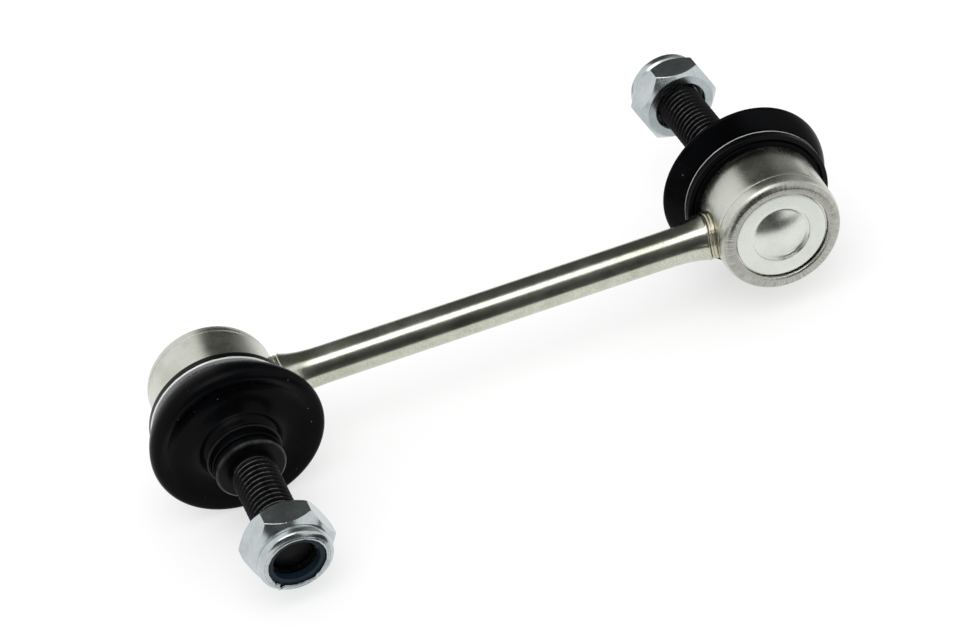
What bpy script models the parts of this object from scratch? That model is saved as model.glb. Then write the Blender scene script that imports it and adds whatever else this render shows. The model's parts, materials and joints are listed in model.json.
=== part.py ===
"""Stabilizer link: a round rod with a ball joint, a dust boot and a threaded stud with a lock nut at each end.

Lengths are in metres. X runs along the rod and Z is up. Each joint has its own frame: its z axis is the
housing's axis and points towards the stud, its x axis points along the rod to the other end, and its origin is
the ball's centre. A station is a place along that z axis.
"""
import math

import bmesh
import bpy
from mathutils import Matrix, Vector
from mathutils.geometry import interpolate_bezier

for old in list(bpy.data.objects):
    bpy.data.objects.remove(old, do_unlink=True)

# Rod and overall length
BALL_SPACING = 0.1230
ROD_DIAMETER = 0.0080
ROD_END_DIAMETER = 0.0104
ROD_END_ROUNDING = 0.0004
ROD_FLARE_LENGTH = 0.0100
BEAD_DIAMETER = 0.0105
BEAD_HEIGHT = 0.0008

# Ball, its plastic seat and the housing around them
BALL_DIAMETER = 0.0130
SEAT_WALL = 0.0025
SEAT_REACH = 0.0036
HOUSING_WALL = 0.0039
HOUSING_FRONT = 0.0078
MOUTH_WALL = 0.0027
LIP_OVERLAP = 0.0007
LIP_HEIGHT = 0.0006
LIP_ROUNDING = 0.0031
BEAD_STEP = 0.0013
BOOT_GROOVE_LENGTH = 0.0019

# Pressed cover at the back of the housing
COVER_SHOULDER = 0.0014
COVER_THICKNESS = 0.0015
COVER_RIM_STEP = 0.0005
RECESS_DIAMETER = 0.0129
RECESS_DEPTH = 0.0005
DOME_HEIGHT = 0.0012

# Ball stud
NECK_DIAMETER = 0.0072
NECK_LENGTH = 0.0040
BOOT_SEAT_DIAMETER = 0.0126
BOOT_SEAT_START = 0.0145
COLLAR_DIAMETER = 0.0151
COLLAR_THICKNESS = 0.0024
COLLAR_BEVEL = 0.0004
COLLAR_FACE = 0.0221
THREAD_DIAMETER = 0.0098
THREAD_LENGTH = 0.0243
THREAD_PITCH = 0.00125
THREAD_DEPTH = 0.0006
THREAD_RELIEF = 0.0006
TIP_CHAMFER = 0.0010

# Rubber boot and the two rings that hold it
BOOT_FOOT_THICKNESS = 0.0021
BOOT_WALL = 0.0012
BOOT_RIM_DIAMETER = 0.0371
BOOT_RIM_STATION = 0.0130
BOOT_RIM_BEND = 0.0009
BOOT_DISH_DEPTH = 0.0019
BOOT_NECK_GROOVE = 0.0004
CLIP_WALL = 0.00105
CLIP_LENGTH = 0.0021
NECK_RING_WIRE = 0.0007

# Lock nut with its nylon insert
NUT_ACROSS_FLATS = 0.0170
NUT_HEX_HEIGHT = 0.0071
NUT_COLLAR_HEIGHT = 0.0029
NUT_COLLAR_DIAMETER = 0.0160
NUT_CHAMFER_DEG = 30.0
CRIMP_OPENING = 0.0122
CRIMP_THICKNESS = 0.0004
INSERT_CLEARANCE = 0.0002

# Fits
CLEARANCE = 0.0003
TILT_CLEARANCE = 0.0004
STUD_TILT_LIMIT_DEG = 25.0

# Rest pose: how far each stud leans, the direction of the lean in its joint's xy plane, how far the boot's rim sags
# along x, how far the stud's tip reaches into the nut, and the nut's turn
REST_TILT_DEG = 9.3
LEAN_DIRECTION_DEG = {"left": -68.0, "right": 49.0}
BOOT_SAG = {"left": 0.0005, "right": 0.0}
NUT_ENGAGEMENT = {"left": 0.0063, "right": 0.0047}
NUT_TURN_DEG = {"left": -7.7, "right": 5.3}

# Facets around each round piece
BOOT_FACETS = 26
HOUSING_FACETS = 32
NUT_FACETS = 24
SMALL_FACETS = 18
STUD_FACETS = 18
ROD_FACETS = 18

# Sizes that follow from those above
ball_radius = BALL_DIAMETER / 2
socket_radius = ball_radius + CLEARANCE
seat_radius = socket_radius + SEAT_WALL
bore_radius = seat_radius + CLEARANCE
housing_radius = bore_radius + HOUSING_WALL
cover_radius = bore_radius + COVER_SHOULDER
lip_radius = cover_radius - LIP_OVERLAP
cover_inner = -(ball_radius + CLEARANCE)
cover_face = cover_inner - COVER_THICKNESS
lip_crest = cover_face - LIP_HEIGHT
groove_radius = housing_radius - BEAD_STEP
bead_base = housing_radius + CLEARANCE
rod_half = BALL_SPACING / 2 - bead_base - BEAD_HEIGHT - CLEARANCE
groove_start = HOUSING_FRONT - BOOT_GROOVE_LENGTH
neck_radius = NECK_DIAMETER / 2
boot_seat_radius = BOOT_SEAT_DIAMETER / 2
collar_back = COLLAR_FACE - COLLAR_THICKNESS
thread_radius = THREAD_DIAMETER / 2
root_radius = thread_radius - THREAD_DEPTH
stud_tip = COLLAR_FACE + THREAD_LENGTH
nut_height = NUT_HEX_HEIGHT + NUT_COLLAR_HEIGHT
foot_inner = groove_radius + CLEARANCE
foot_outer = foot_inner + BOOT_FOOT_THICKNESS
foot_top = HOUSING_FRONT + 2 * CLEARANCE
clip_radius = foot_outer + CLEARANCE + CLIP_WALL
clip_top = foot_top - CLEARANCE / 2
boot_end = collar_back - CLEARANCE


def mouth_radius(station):
    """Radius that clears the leaning neck at a station."""
    limit = math.radians(STUD_TILT_LIMIT_DEG)
    return station * math.tan(limit) + neck_radius / math.cos(limit) + TILT_CLEARANCE


def finish(name, colour, roughness, metallic):
    """A Principled material."""
    material = bpy.data.materials.new(name)
    material.use_nodes = True
    material.diffuse_color = (*colour, 1.0)
    shader = material.node_tree.nodes["Principled BSDF"]
    shader.inputs["Base Color"].default_value = (*colour, 1.0)
    shader.inputs["Roughness"].default_value = roughness
    shader.inputs["Metallic"].default_value = metallic
    return material


def empty(name, matrix, parent=None):
    """An empty on a joint's axis."""
    marker = bpy.data.objects.new(name, None)
    marker.empty_display_size = 0.01
    bpy.context.collection.objects.link(marker)
    marker.parent = parent
    marker.matrix_local = matrix
    return marker


def add_piece(name, mesh_data, material, parent):
    """An object made from a bmesh, smooth where it is round."""
    bmesh.ops.recalc_face_normals(mesh_data, faces=mesh_data.faces)
    mesh = bpy.data.meshes.new(name)
    mesh_data.to_mesh(mesh)
    mesh_data.free()
    mesh.materials.append(material)
    mesh.shade_smooth()
    mesh.set_sharp_from_angle(angle=math.radians(32))
    piece = bpy.data.objects.new(name, mesh)
    bpy.context.collection.objects.link(piece)
    piece.parent = parent
    return piece


def revolve(outline, facets):
    """A bmesh from an outline of (radius, station) points spun round the z axis, closed unless it starts on it."""
    turned = bmesh.new()
    points = [turned.verts.new((radius, 0.0, station)) for radius, station in outline]
    last = len(points) - 1 if outline[0][0] == 0.0 else len(points)
    edges = [turned.edges.new((points[i], points[(i + 1) % len(points)])) for i in range(last)]
    bmesh.ops.spin(
        turned,
        geom=points + edges,
        cent=(0.0, 0.0, 0.0),
        axis=(0.0, 0.0, 1.0),
        angle=math.tau,
        steps=facets,
        use_merge=True,
    )
    bmesh.ops.remove_doubles(turned, verts=turned.verts, dist=1e-7)
    return turned


def arc(centre, radius, start_deg, end_deg, steps):
    """Points of a round stretch of an outline, from one angle to another."""
    angles = [math.radians(start_deg + (end_deg - start_deg) * i / steps) for i in range(steps + 1)]
    return [(centre[0] + radius * math.cos(a), centre[1] + radius * math.sin(a)) for a in angles]


def curve(start, handle_1, handle_2, end, steps):
    """Points of a free stretch of an outline, a Bezier curve."""
    corners = [Vector(point).to_3d() for point in (start, handle_1, handle_2, end)]
    return [(p.x, p.y) for p in interpolate_bezier(*corners, steps + 1)]


def ribbon(path, halves):
    """A closed outline that runs up one side of a centre line and back down the other."""
    left = []
    right = []
    for i, (x, y) in enumerate(path):
        before = Vector(path[max(i - 1, 0)])
        after = Vector(path[min(i + 1, len(path) - 1)])
        along = (after - before).normalized()
        across = Vector((-along.y, along.x)) * halves[i]
        left.append((x + across.x, y + across.y))
        right.append((x - across.x, y - across.y))
    return left + right[::-1]


def barrel_saddle(height):
    """How far the barrel falls away from its own outermost line at a height above the rod's axis."""
    return housing_radius - math.sqrt(housing_radius**2 - height**2)


zinc = finish("zinc_plated_steel", (0.62, 0.61, 0.57), 0.22, 1.0)
cover_zinc = finish("cover_zinc", (0.72, 0.72, 0.68), 0.30, 1.0)
seat_plastic = finish("seat_plastic", (0.80, 0.79, 0.74), 0.45, 0.0)
black_steel = finish("phosphated_steel", (0.030, 0.030, 0.032), 0.42, 0.6)
rubber = finish("boot_rubber", (0.012, 0.012, 0.013), 0.50, 0.0)
clip_steel = finish("clip_steel", (0.05, 0.05, 0.05), 0.30, 1.0)
nut_zinc = finish("nut_zinc", (0.70, 0.74, 0.76), 0.18, 1.0)
nylon = finish("insert_nylon", (0.015, 0.020, 0.045), 0.35, 0.0)


def make_rod():
    """The rod, thickened towards both ends, with ends that follow the barrels."""
    rod_radius = ROD_DIAMETER / 2
    end_radius = ROD_END_DIAMETER / 2
    flare = curve(
        (rod_radius, rod_half - ROD_FLARE_LENGTH),
        (rod_radius, rod_half - 0.45 * ROD_FLARE_LENGTH),
        (0.75 * rod_radius + 0.25 * end_radius, rod_half - 0.25 * ROD_FLARE_LENGTH),
        (end_radius, rod_half - ROD_END_ROUNDING),
        5,
    )
    upper = flare + [(end_radius - ROD_END_ROUNDING, rod_half), (end_radius / 2, rod_half), (0.0, rod_half)]
    lower = [(radius, -station) for radius, station in upper[::-1]]
    turned = revolve(lower + upper, ROD_FACETS)
    for vert in turned.verts:
        share = (abs(vert.co.z) - rod_half) / ROD_FLARE_LENGTH * 2.5 + 1
        fall = barrel_saddle(vert.co.y) * min(max(share, 0.0), 1.0)
        vert.co.z += math.copysign(fall, vert.co.z)
    return add_piece("link_rod", turned, zinc, rod_axis)


def make_weld_bead(side, frame):
    """The disc of upset metal between the rod's end and the barrel, seen as a thin ring with two crests."""
    crest = BEAD_DIAMETER / 2
    outline = [
        (0.0, bead_base),
        (crest / 2, bead_base),
        (0.98 * crest, bead_base),
        (crest, bead_base + 0.2 * BEAD_HEIGHT),
        (0.97 * crest, bead_base + 0.5 * BEAD_HEIGHT),
        (crest, bead_base + 0.8 * BEAD_HEIGHT),
        (0.98 * crest, bead_base + BEAD_HEIGHT),
        (crest / 2, bead_base + BEAD_HEIGHT),
        (0.0, bead_base + BEAD_HEIGHT),
    ]
    turned = revolve(outline, ROD_FACETS)
    for vert in turned.verts:
        vert.co.z -= barrel_saddle(vert.co.y)
    along_rod = Matrix(((0, 0, 1), (0, 1, 0), (-1, 0, 0))).to_4x4()
    turned.transform(along_rod)
    return add_piece(f"{side}_weld_bead", turned, zinc, frame)


def make_housing(side, frame):
    """The barrel: a boot groove and a conical mouth in front, and a lip rolled over the cover behind."""
    pocket_radius = cover_radius + CLEARANCE
    lip_under = cover_face + COVER_RIM_STEP - CLEARANCE
    round_start = lip_crest + LIP_ROUNDING
    crest_radius = lip_radius + (housing_radius - lip_radius) * 0.4
    outline = [(housing_radius, groove_start)]
    outline += curve(
        (housing_radius, round_start),
        (housing_radius, lip_crest + 0.45 * LIP_ROUNDING),
        (housing_radius - 0.3 * (housing_radius - crest_radius), lip_crest),
        (crest_radius, lip_crest),
        5,
    )
    outline += [
        (lip_radius, lip_crest + 0.35 * LIP_HEIGHT),
        (lip_radius, lip_under),
        (pocket_radius, lip_under),
        (pocket_radius, cover_inner + CLEARANCE),
        (bore_radius, cover_inner + CLEARANCE),
        (bore_radius, SEAT_REACH + CLEARANCE),
        (mouth_radius(SEAT_REACH + CLEARANCE), SEAT_REACH + CLEARANCE),
        (mouth_radius(HOUSING_FRONT), HOUSING_FRONT),
        (groove_radius, HOUSING_FRONT),
        (groove_radius, groove_start),
    ]
    return add_piece(f"{side}_housing", revolve(outline, HOUSING_FACETS), zinc, frame)


def make_cover(side, frame):
    """The pressed disc that closes the housing, with a round recess in its middle and a low dome inside it."""
    recess = RECESS_DIAMETER / 2
    step_radius = lip_radius - CLEARANCE
    rim_face = cover_face + COVER_RIM_STEP
    floor = cover_face + RECESS_DEPTH
    dome_edge = recess - RECESS_DEPTH
    dome_radius = (dome_edge**2 + DOME_HEIGHT**2) / (2 * DOME_HEIGHT)
    dome_angle = math.degrees(math.asin(dome_edge / dome_radius))
    outline = arc((0.0, floor - DOME_HEIGHT + dome_radius), dome_radius, -90.0, dome_angle - 90.0, 4)
    outline[0] = (0.0, floor - DOME_HEIGHT)
    outline += [
        (recess, cover_face),
        (step_radius, cover_face),
        (step_radius, rim_face),
        (cover_radius, rim_face),
        (cover_radius, cover_inner),
        (0.0, cover_inner),
    ]
    return add_piece(f"{side}_cover_plate", revolve(outline, SMALL_FACETS), cover_zinc, frame)


def make_seat(side, frame):
    """The plastic cup around the ball, open in front for the neck."""
    back = -ball_radius
    front_grip = SEAT_REACH - 2 * CLEARANCE
    start = math.degrees(math.asin(front_grip / socket_radius))
    end = math.degrees(math.asin(back / socket_radius))
    outline = [(seat_radius, back), (seat_radius, SEAT_REACH)]
    outline.append((max(mouth_radius(SEAT_REACH), socket_radius * math.cos(math.radians(start))), SEAT_REACH))
    outline += arc((0.0, 0.0), socket_radius, start, end, 5)
    return add_piece(f"{side}_ball_seat", revolve(outline, SMALL_FACETS), seat_plastic, frame)


def thread_column(start, column):
    """Crest and root of each turn of the thread at one column of facets, as (radius, station) points.

    The thread is one right-hand helix, so each column lies a little further on than the one before it. The crest
    rises from the root over the first turn, and the chamfer cuts it at the tip.
    """
    rows = math.floor(2 * ((stud_tip - CLEARANCE - start) / THREAD_PITCH - 1.25)) + 1
    points = []
    for row in range(rows):
        turns = row / 2 + column / STUD_FACETS + 0.25
        station = start + THREAD_PITCH * turns
        crest = THREAD_DEPTH * min(turns, 1.0) if row % 2 else 0.0
        cone = thread_radius - TIP_CHAMFER + (stud_tip - station)
        points.append((min(root_radius + crest, cone), station))
    return points


def add_thread(stud, start):
    """Close the stud with its threaded shank, from the open ring at the start of the thread to the tip."""
    ring = [vert for vert in stud.verts if abs(vert.co.z - start) < CLEARANCE / 10]
    half_facet = math.pi / STUD_FACETS
    ring.sort(key=lambda vert: (math.atan2(vert.co.y, vert.co.x) + half_facet) % math.tau)
    columns = []
    for column, foot in enumerate(ring):
        angle = math.tau * column / STUD_FACETS
        points = thread_column(start, column) + [(thread_radius - TIP_CHAMFER, stud_tip)]
        shank = [stud.verts.new((r * math.cos(angle), r * math.sin(angle), z)) for r, z in points]
        columns.append([foot] + shank)
    for left, right in zip(columns, columns[1:]):
        for i in range(len(left) - 1):
            stud.faces.new((left[i], right[i], right[i + 1], left[i + 1]))
    left, right = columns[-1], columns[0]
    turn = 2
    for i in range(1, len(left) - turn - 2):
        stud.faces.new((left[i], right[i + turn], right[i + turn + 1], left[i + 1]))
    first = stud.faces.new((left[0], *right[: turn + 2], left[1]))
    last = stud.faces.new((left[-turn - 2], *right[-2:], *reversed(left[-turn - 1 :])))
    tip = stud.faces.new([column[-1] for column in columns])
    bmesh.ops.triangulate(stud, faces=[first, last, tip])


def make_stud(side, frame):
    """Ball, waisted neck, boot seat, bevelled collar and threaded shank, all in one piece."""
    neck_start = math.sqrt(ball_radius**2 - neck_radius**2)
    neck_top = neck_start + NECK_LENGTH
    thread_start = COLLAR_FACE + THREAD_RELIEF
    collar = COLLAR_DIAMETER / 2
    outline = arc((0.0, 0.0), ball_radius, -90.0, math.degrees(math.asin(neck_start / ball_radius)), 7)
    outline[0] = (0.0, -ball_radius)
    outline += curve(
        (neck_radius, neck_top),
        (neck_radius, 0.6 * neck_top + 0.4 * BOOT_SEAT_START),
        (boot_seat_radius, 0.4 * neck_top + 0.6 * BOOT_SEAT_START),
        (boot_seat_radius, BOOT_SEAT_START),
        4,
    )
    outline += [
        (boot_seat_radius, collar_back),
        (collar - COLLAR_BEVEL, collar_back),
        (collar, collar_back + COLLAR_BEVEL),
        (collar, COLLAR_FACE - COLLAR_BEVEL),
        (collar - COLLAR_BEVEL, COLLAR_FACE),
        (thread_radius + CLEARANCE, COLLAR_FACE),
        (root_radius, COLLAR_FACE - CLEARANCE),
        (root_radius, thread_start),
    ]
    turned = revolve(outline, STUD_FACETS)
    add_thread(turned, thread_start)
    return add_piece(f"{side}_ball_stud", turned, black_steel, frame)


def boot_outline():
    """The boot's wall: foot in the housing's groove, flared disc, rounded rim, dished front and neck."""
    foot_middle = (foot_inner + foot_outer) / 2
    rim_centre = BOOT_RIM_DIAMETER / 2 - BOOT_RIM_BEND - BOOT_WALL / 2
    neck_middle = boot_seat_radius + CLEARANCE + 0.65 * BOOT_WALL
    dish_station = BOOT_RIM_STATION - BOOT_DISH_DEPTH + BOOT_RIM_BEND
    foot = [(foot_middle, groove_start + CLEARANCE), (foot_middle, foot_top)]
    flare = curve(
        (foot_middle + 0.3 * BOOT_WALL, foot_top + BOOT_WALL),
        (rim_centre - 0.4 * BOOT_WALL, foot_top + 1.2 * BOOT_WALL),
        (rim_centre + BOOT_RIM_BEND, foot_top + 3.5 * BOOT_WALL),
        (rim_centre + BOOT_RIM_BEND, BOOT_RIM_STATION),
        3,
    )
    rim = arc((rim_centre, BOOT_RIM_STATION), BOOT_RIM_BEND, 30.0, 90.0, 2)
    dish_edge = neck_middle + 3.2 * BOOT_WALL
    dish = curve(
        (rim_centre - BOOT_WALL, BOOT_RIM_STATION + 0.6 * BOOT_RIM_BEND),
        (rim_centre - 3 * BOOT_WALL, dish_station),
        (dish_edge, dish_station),
        (neck_middle + 1.6 * BOOT_WALL, dish_station + 1.6 * BOOT_WALL),
        3,
    )
    waist = boot_end - 2 * BOOT_WALL
    neck = curve(
        (neck_middle + 1.3 * BOOT_WALL, dish_station + 2.8 * BOOT_WALL),
        (neck_middle + BOOT_WALL, waist - 2 * BOOT_WALL),
        (neck_middle + 0.2 * BOOT_WALL, waist - BOOT_WALL),
        (neck_middle, waist - 0.5 * BOOT_WALL),
        2,
    )
    groove = BOOT_NECK_GROOVE / 2
    collar = [(neck_middle - groove, waist + 0.2 * BOOT_WALL), (neck_middle, waist + BOOT_WALL), (neck_middle, boot_end)]
    path = foot + flare + rim + dish + neck + collar
    halves = [BOOT_FOOT_THICKNESS / 2] * len(foot)
    halves += [BOOT_WALL / 2] * (len(path) - len(foot) - len(collar))
    halves += [0.65 * BOOT_WALL - groove, 0.65 * BOOT_WALL, 0.5 * BOOT_WALL]
    return ribbon(path, halves)


def lean(vert, lean_axis, sag):
    """Turn a point about the ball's centre, from nothing at the foot to the stud's lean at the neck, and let it sag."""
    share = (vert.co.z - foot_top) / (boot_end - 2 * BOOT_WALL - foot_top)
    share = min(max(share, 0.0), 1.0)
    share = share * share * (3 - 2 * share)
    vert.co = Matrix.Rotation(math.radians(REST_TILT_DEG) * share, 3, lean_axis) @ vert.co
    vert.co.x += sag * 4 * share * (1 - share)


def make_boot(side, frame, lean_axis):
    """The rubber boot, leaning with the stud."""
    turned = revolve(boot_outline(), BOOT_FACETS)
    for vert in turned.verts:
        lean(vert, lean_axis, BOOT_SAG[side])
    return add_piece(f"{side}_dust_boot", turned, rubber, frame)


def make_clip(side, frame):
    """The flat steel ring that presses the boot's foot into the groove."""
    inner = foot_outer + CLEARANCE
    outline = [
        (inner, clip_top - CLIP_LENGTH),
        (clip_radius, clip_top - CLIP_LENGTH),
        (clip_radius, clip_top),
        (inner, clip_top),
    ]
    return add_piece(f"{side}_boot_clip", revolve(outline, HOUSING_FACETS), clip_steel, frame)


def make_neck_ring(side, frame):
    """The wire ring in the groove round the boot's neck."""
    wire = NECK_RING_WIRE / 2
    neck_outer = boot_seat_radius + CLEARANCE + 1.3 * BOOT_WALL - BOOT_NECK_GROOVE
    centre = (neck_outer + wire + CLEARANCE, boot_end - 1.8 * BOOT_WALL)
    outline = arc(centre, wire, 0.0, 288.0, 4)
    return add_piece(f"{side}_boot_neck_ring", revolve(outline, SMALL_FACETS), clip_steel, frame)


def make_nut(side, frame):
    """The hexagon nut, its bearing face at zero, with chamfered corners and a collar crimped over the insert."""
    flat = NUT_ACROSS_FLATS / 2
    corner = flat / math.cos(math.radians(30)) + CLEARANCE
    chamfer = (corner - 0.95 * flat) * math.tan(math.radians(NUT_CHAMFER_DEG))
    bore = thread_radius + CLEARANCE
    crimp = CRIMP_OPENING / 2
    collar = NUT_COLLAR_DIAMETER / 2
    pocket = crimp + (collar - crimp) / 2
    under_crimp = nut_height - CRIMP_THICKNESS
    outline = [
        (bore + 0.1 * flat, 0.0),
        (0.95 * flat, 0.0),
        (corner, chamfer),
        (corner, NUT_HEX_HEIGHT - chamfer),
        (0.95 * flat, NUT_HEX_HEIGHT),
        (collar, NUT_HEX_HEIGHT),
    ]
    outline += arc((collar - 2 * CRIMP_THICKNESS, nut_height - 2 * CRIMP_THICKNESS), 2 * CRIMP_THICKNESS, 0, 90, 3)
    outline += [
        (crimp, under_crimp + CRIMP_THICKNESS / 2),
        (crimp, under_crimp),
        (pocket, under_crimp),
        (pocket, NUT_HEX_HEIGHT),
        (bore, NUT_HEX_HEIGHT),
        (bore, 0.1 * flat),
    ]
    nut = add_piece(f"{side}_lock_nut", revolve(outline, NUT_FACETS), nut_zinc, frame)
    prism = bmesh.new()
    bmesh.ops.create_cone(
        prism,
        cap_ends=True,
        segments=6,
        radius1=flat / math.cos(math.radians(30)),
        radius2=flat / math.cos(math.radians(30)),
        depth=2 * nut_height,
        matrix=Matrix.Translation((0.0, 0.0, nut_height / 2)),
    )
    cutter = add_piece(f"{side}_nut_hexagon", prism, nut_zinc, frame)
    cutter.hide_render = True
    cutter.display_type = "WIRE"
    hexagon = nut.modifiers.new("hexagon", "BOOLEAN")
    hexagon.operation = "INTERSECT"
    hexagon.object = cutter
    return nut


def make_insert(side, frame):
    """The nylon ring held in the nut's collar, in the nut's own frame."""
    crimp = CRIMP_OPENING / 2
    collar = NUT_COLLAR_DIAMETER / 2
    outer = crimp + (collar - crimp) / 2 - CLEARANCE
    inner = thread_radius + INSERT_CLEARANCE
    start = NUT_HEX_HEIGHT + CLEARANCE
    end = nut_height - CRIMP_THICKNESS - CLEARANCE
    outline = [(inner, start), (outer, start), (outer, end), (inner, end)]
    return add_piece(f"{side}_nut_insert", revolve(outline, SMALL_FACETS), nylon, frame)


def make_end(side, sign):
    """Everything at one end of the link. The sign is -1 at the left end and 1 at the right end."""
    place = Matrix.Translation((sign * BALL_SPACING / 2, 0.0, 0.0))
    axes = Matrix(((-sign, 0, 0), (0, 0, sign), (0, 1, 0))).to_4x4()
    joint = empty(f"{side}_ball_centre", place @ axes)
    direction = math.radians(LEAN_DIRECTION_DEG[side])
    lean_axis = Vector((-math.sin(direction), math.cos(direction), 0.0))
    tilt = Matrix.Rotation(math.radians(REST_TILT_DEG), 4, lean_axis)
    stud_axis = empty(f"{side}_stud_axis", tilt, joint)
    nut_place = Matrix.Translation((0.0, 0.0, stud_tip - NUT_ENGAGEMENT[side]))
    nut_turn = Matrix.Rotation(math.radians(NUT_TURN_DEG[side]), 4, "Z")
    nut_face = empty(f"{side}_nut_face", nut_place @ nut_turn, stud_axis)
    make_weld_bead(side, joint)
    make_housing(side, joint)
    make_cover(side, joint)
    make_seat(side, joint)
    make_clip(side, joint)
    make_boot(side, joint, lean_axis)
    make_stud(side, stud_axis)
    make_neck_ring(side, stud_axis)
    make_nut(side, nut_face)
    make_insert(side, nut_face)


rod_axis = empty("rod_axis", Matrix(((0, 0, 1), (1, 0, 0), (0, 1, 0))).to_4x4())
make_rod()
for end_side, end_sign in (("left", -1), ("right", 1)):
    make_end(end_side, end_sign)
bpy.context.view_layer.update()
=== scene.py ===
"""Dressed model of a suspension stabilizer link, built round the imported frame.

A round plated rod carries a ball joint at each end. Every joint has a housing with a rolled lip and a
pressed cover, a ball stud with a threaded shank, a flared rubber boot with its two rings, and a lock nut
with a nylon insert. Lengths are in metres. A station is a place along a joint's own axis, measured from
the ball's centre towards the stud.
"""
import json
import logging
import math
from dataclasses import dataclass, field
from enum import Enum
from typing import Callable, Sequence

import bpy
import numpy as np
from mathutils import Matrix


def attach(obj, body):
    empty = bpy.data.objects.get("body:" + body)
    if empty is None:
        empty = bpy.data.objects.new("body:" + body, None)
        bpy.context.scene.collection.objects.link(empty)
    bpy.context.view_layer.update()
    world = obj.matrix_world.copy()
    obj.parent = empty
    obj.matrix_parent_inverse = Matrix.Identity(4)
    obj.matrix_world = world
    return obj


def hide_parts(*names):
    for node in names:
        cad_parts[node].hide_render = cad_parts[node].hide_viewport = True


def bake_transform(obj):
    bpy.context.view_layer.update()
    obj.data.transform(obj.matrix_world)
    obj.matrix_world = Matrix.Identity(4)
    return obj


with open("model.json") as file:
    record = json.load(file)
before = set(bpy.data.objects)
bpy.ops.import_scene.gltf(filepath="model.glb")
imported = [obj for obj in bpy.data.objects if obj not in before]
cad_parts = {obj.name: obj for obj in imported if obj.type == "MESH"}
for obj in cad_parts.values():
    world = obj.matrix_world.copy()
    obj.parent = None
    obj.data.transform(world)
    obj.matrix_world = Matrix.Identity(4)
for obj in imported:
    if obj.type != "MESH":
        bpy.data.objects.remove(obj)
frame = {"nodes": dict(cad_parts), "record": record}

MM = 0.001
TAU = 2.0 * math.pi
BARREL_RADIUS = 13.5 * MM
TINY = 0.001 * MM
LARGEST_CUT = 0.49  # The most of an edge that the rounding of one of its corners takes.
CLEAR_SHARE = 0.985  # The share of half a wall that keeps a side's point clear of the centre line.
WHITE = (1.0, 1.0, 1.0, 1.0)

Array = np.ndarray
Socket = bpy.types.NodeSocket
Point = tuple[float, float]
Triple = tuple[float, float, float]
Colour = Triple
Waves = tuple[int, int]
Shape = Callable[[Array, Array, Array], tuple[Array, Array]]
WearAndHighlight = Callable[[Array, Array, Array], Array]
log = logging.getLogger("stabilizer_link")


class Side(Enum):
    """The two ends of the link."""

    LEFT = "left"
    RIGHT = "right"


@dataclass(frozen=True)
class Fit:
    """What differs between the link's two ends, with the seeds of their uneven edges."""

    nut_station: float
    nut_turn_deg: float
    boot_sag: float
    weld_seeds: tuple[int, int]
    lip_seeds: tuple[int, int, int]
    crimp_seed: int


FITS = {
    Side.LEFT: Fit(
        nut_station=40.1 * MM,
        nut_turn_deg=-7.7,
        boot_sag=0.5 * MM,
        weld_seeds=(11, 31),
        lip_seeds=(34, 31, 38),
        crimp_seed=51,
    ),
    Side.RIGHT: Fit(
        nut_station=41.7 * MM,
        nut_turn_deg=5.3,
        boot_sag=0.0,
        weld_seeds=(12, 32),
        lip_seeds=(35, 32, 39),
        crimp_seed=52,
    ),
}


# Outlines and surfaces


def arc(centre: Point, radius: float, start_deg: float, end_deg: float, steps: int) -> list[Point]:
    """Points on a circle between two angles.

    Args:
        centre: Middle of the circle.
        radius: The circle's radius.
        start_deg: Angle of the first point.
        end_deg: Angle of the last point.
        steps: Number of equal steps.

    Returns:
        The points, first and last included.
    """
    angles = np.radians(np.linspace(start_deg, end_deg, steps + 1))
    return [(centre[0] + radius * math.cos(a), centre[1] + radius * math.sin(a)) for a in angles]


def bezier(corners: Sequence[Point], steps: int) -> list[Point]:
    """Points of a cubic Bezier curve: the sum of its four corners weighted by the Bernstein polynomials.

    Args:
        corners: Start, two handles and end.
        steps: Number of steps in the parameter.

    Returns:
        The points, first and last included.
    """
    t = np.linspace(0.0, 1.0, steps + 1)[:, None]
    weights = np.hstack([(1 - t) ** 3, 3 * t * (1 - t) ** 2, 3 * t**2 * (1 - t), t**3])
    return [tuple(p) for p in weights @ np.array(corners)]


def fillet(corners: Sequence[Triple], closed: bool, steps: int = 5) -> Array:
    """An outline whose corners are rounded.

    Each corner is cut back along both its edges by the same length and the cut is bridged with a quadratic
    curve whose middle corner is the old one, which is close to an arc of that radius.

    Args:
        corners: Radius, station and rounding of each corner.
        closed: Whether the last corner joins the first.
        steps: Steps in each rounding.

    Returns:
        The outline's points, one row each.
    """
    points = np.array([corner[:2] for corner in corners], float)
    count = len(points)
    rows = []
    for i, here in enumerate(points):
        rounding = corners[i][2]
        if rounding <= 0 or (not closed and i in (0, count - 1)):
            rows.append(here[None])
            continue
        back = points[i - 1] - here
        on = points[(i + 1) % count] - here
        cut = min(rounding, LARGEST_CUT * np.linalg.norm(back), LARGEST_CUT * np.linalg.norm(on))
        first = here + back / np.linalg.norm(back) * cut
        last = here + on / np.linalg.norm(on) * cut
        t = np.linspace(0.0, 1.0, steps + 1)[:, None]
        rows.append((1 - t) ** 2 * first + 2 * t * (1 - t) * here + t**2 * last)
    return np.vstack(rows)


def refine(outline: Array, longest: float, closed: bool) -> Array:
    """An outline with extra points, so that no step is longer than a given length.

    Args:
        outline: The points, one row each.
        longest: The longest step allowed.
        closed: Whether the last point joins the first.

    Returns:
        The finer outline.
    """
    ends = np.vstack([outline[1:], outline[:1]]) if closed else outline[1:]
    pieces = []
    for start, end in zip(outline, ends):
        steps = max(int(math.ceil(np.linalg.norm(end - start) / longest)), 1)
        t = np.arange(steps)[:, None] / steps
        pieces.append(start + (end - start) * t)
    if not closed:
        pieces.append(outline[-1:])
    return np.vstack(pieces)


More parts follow.
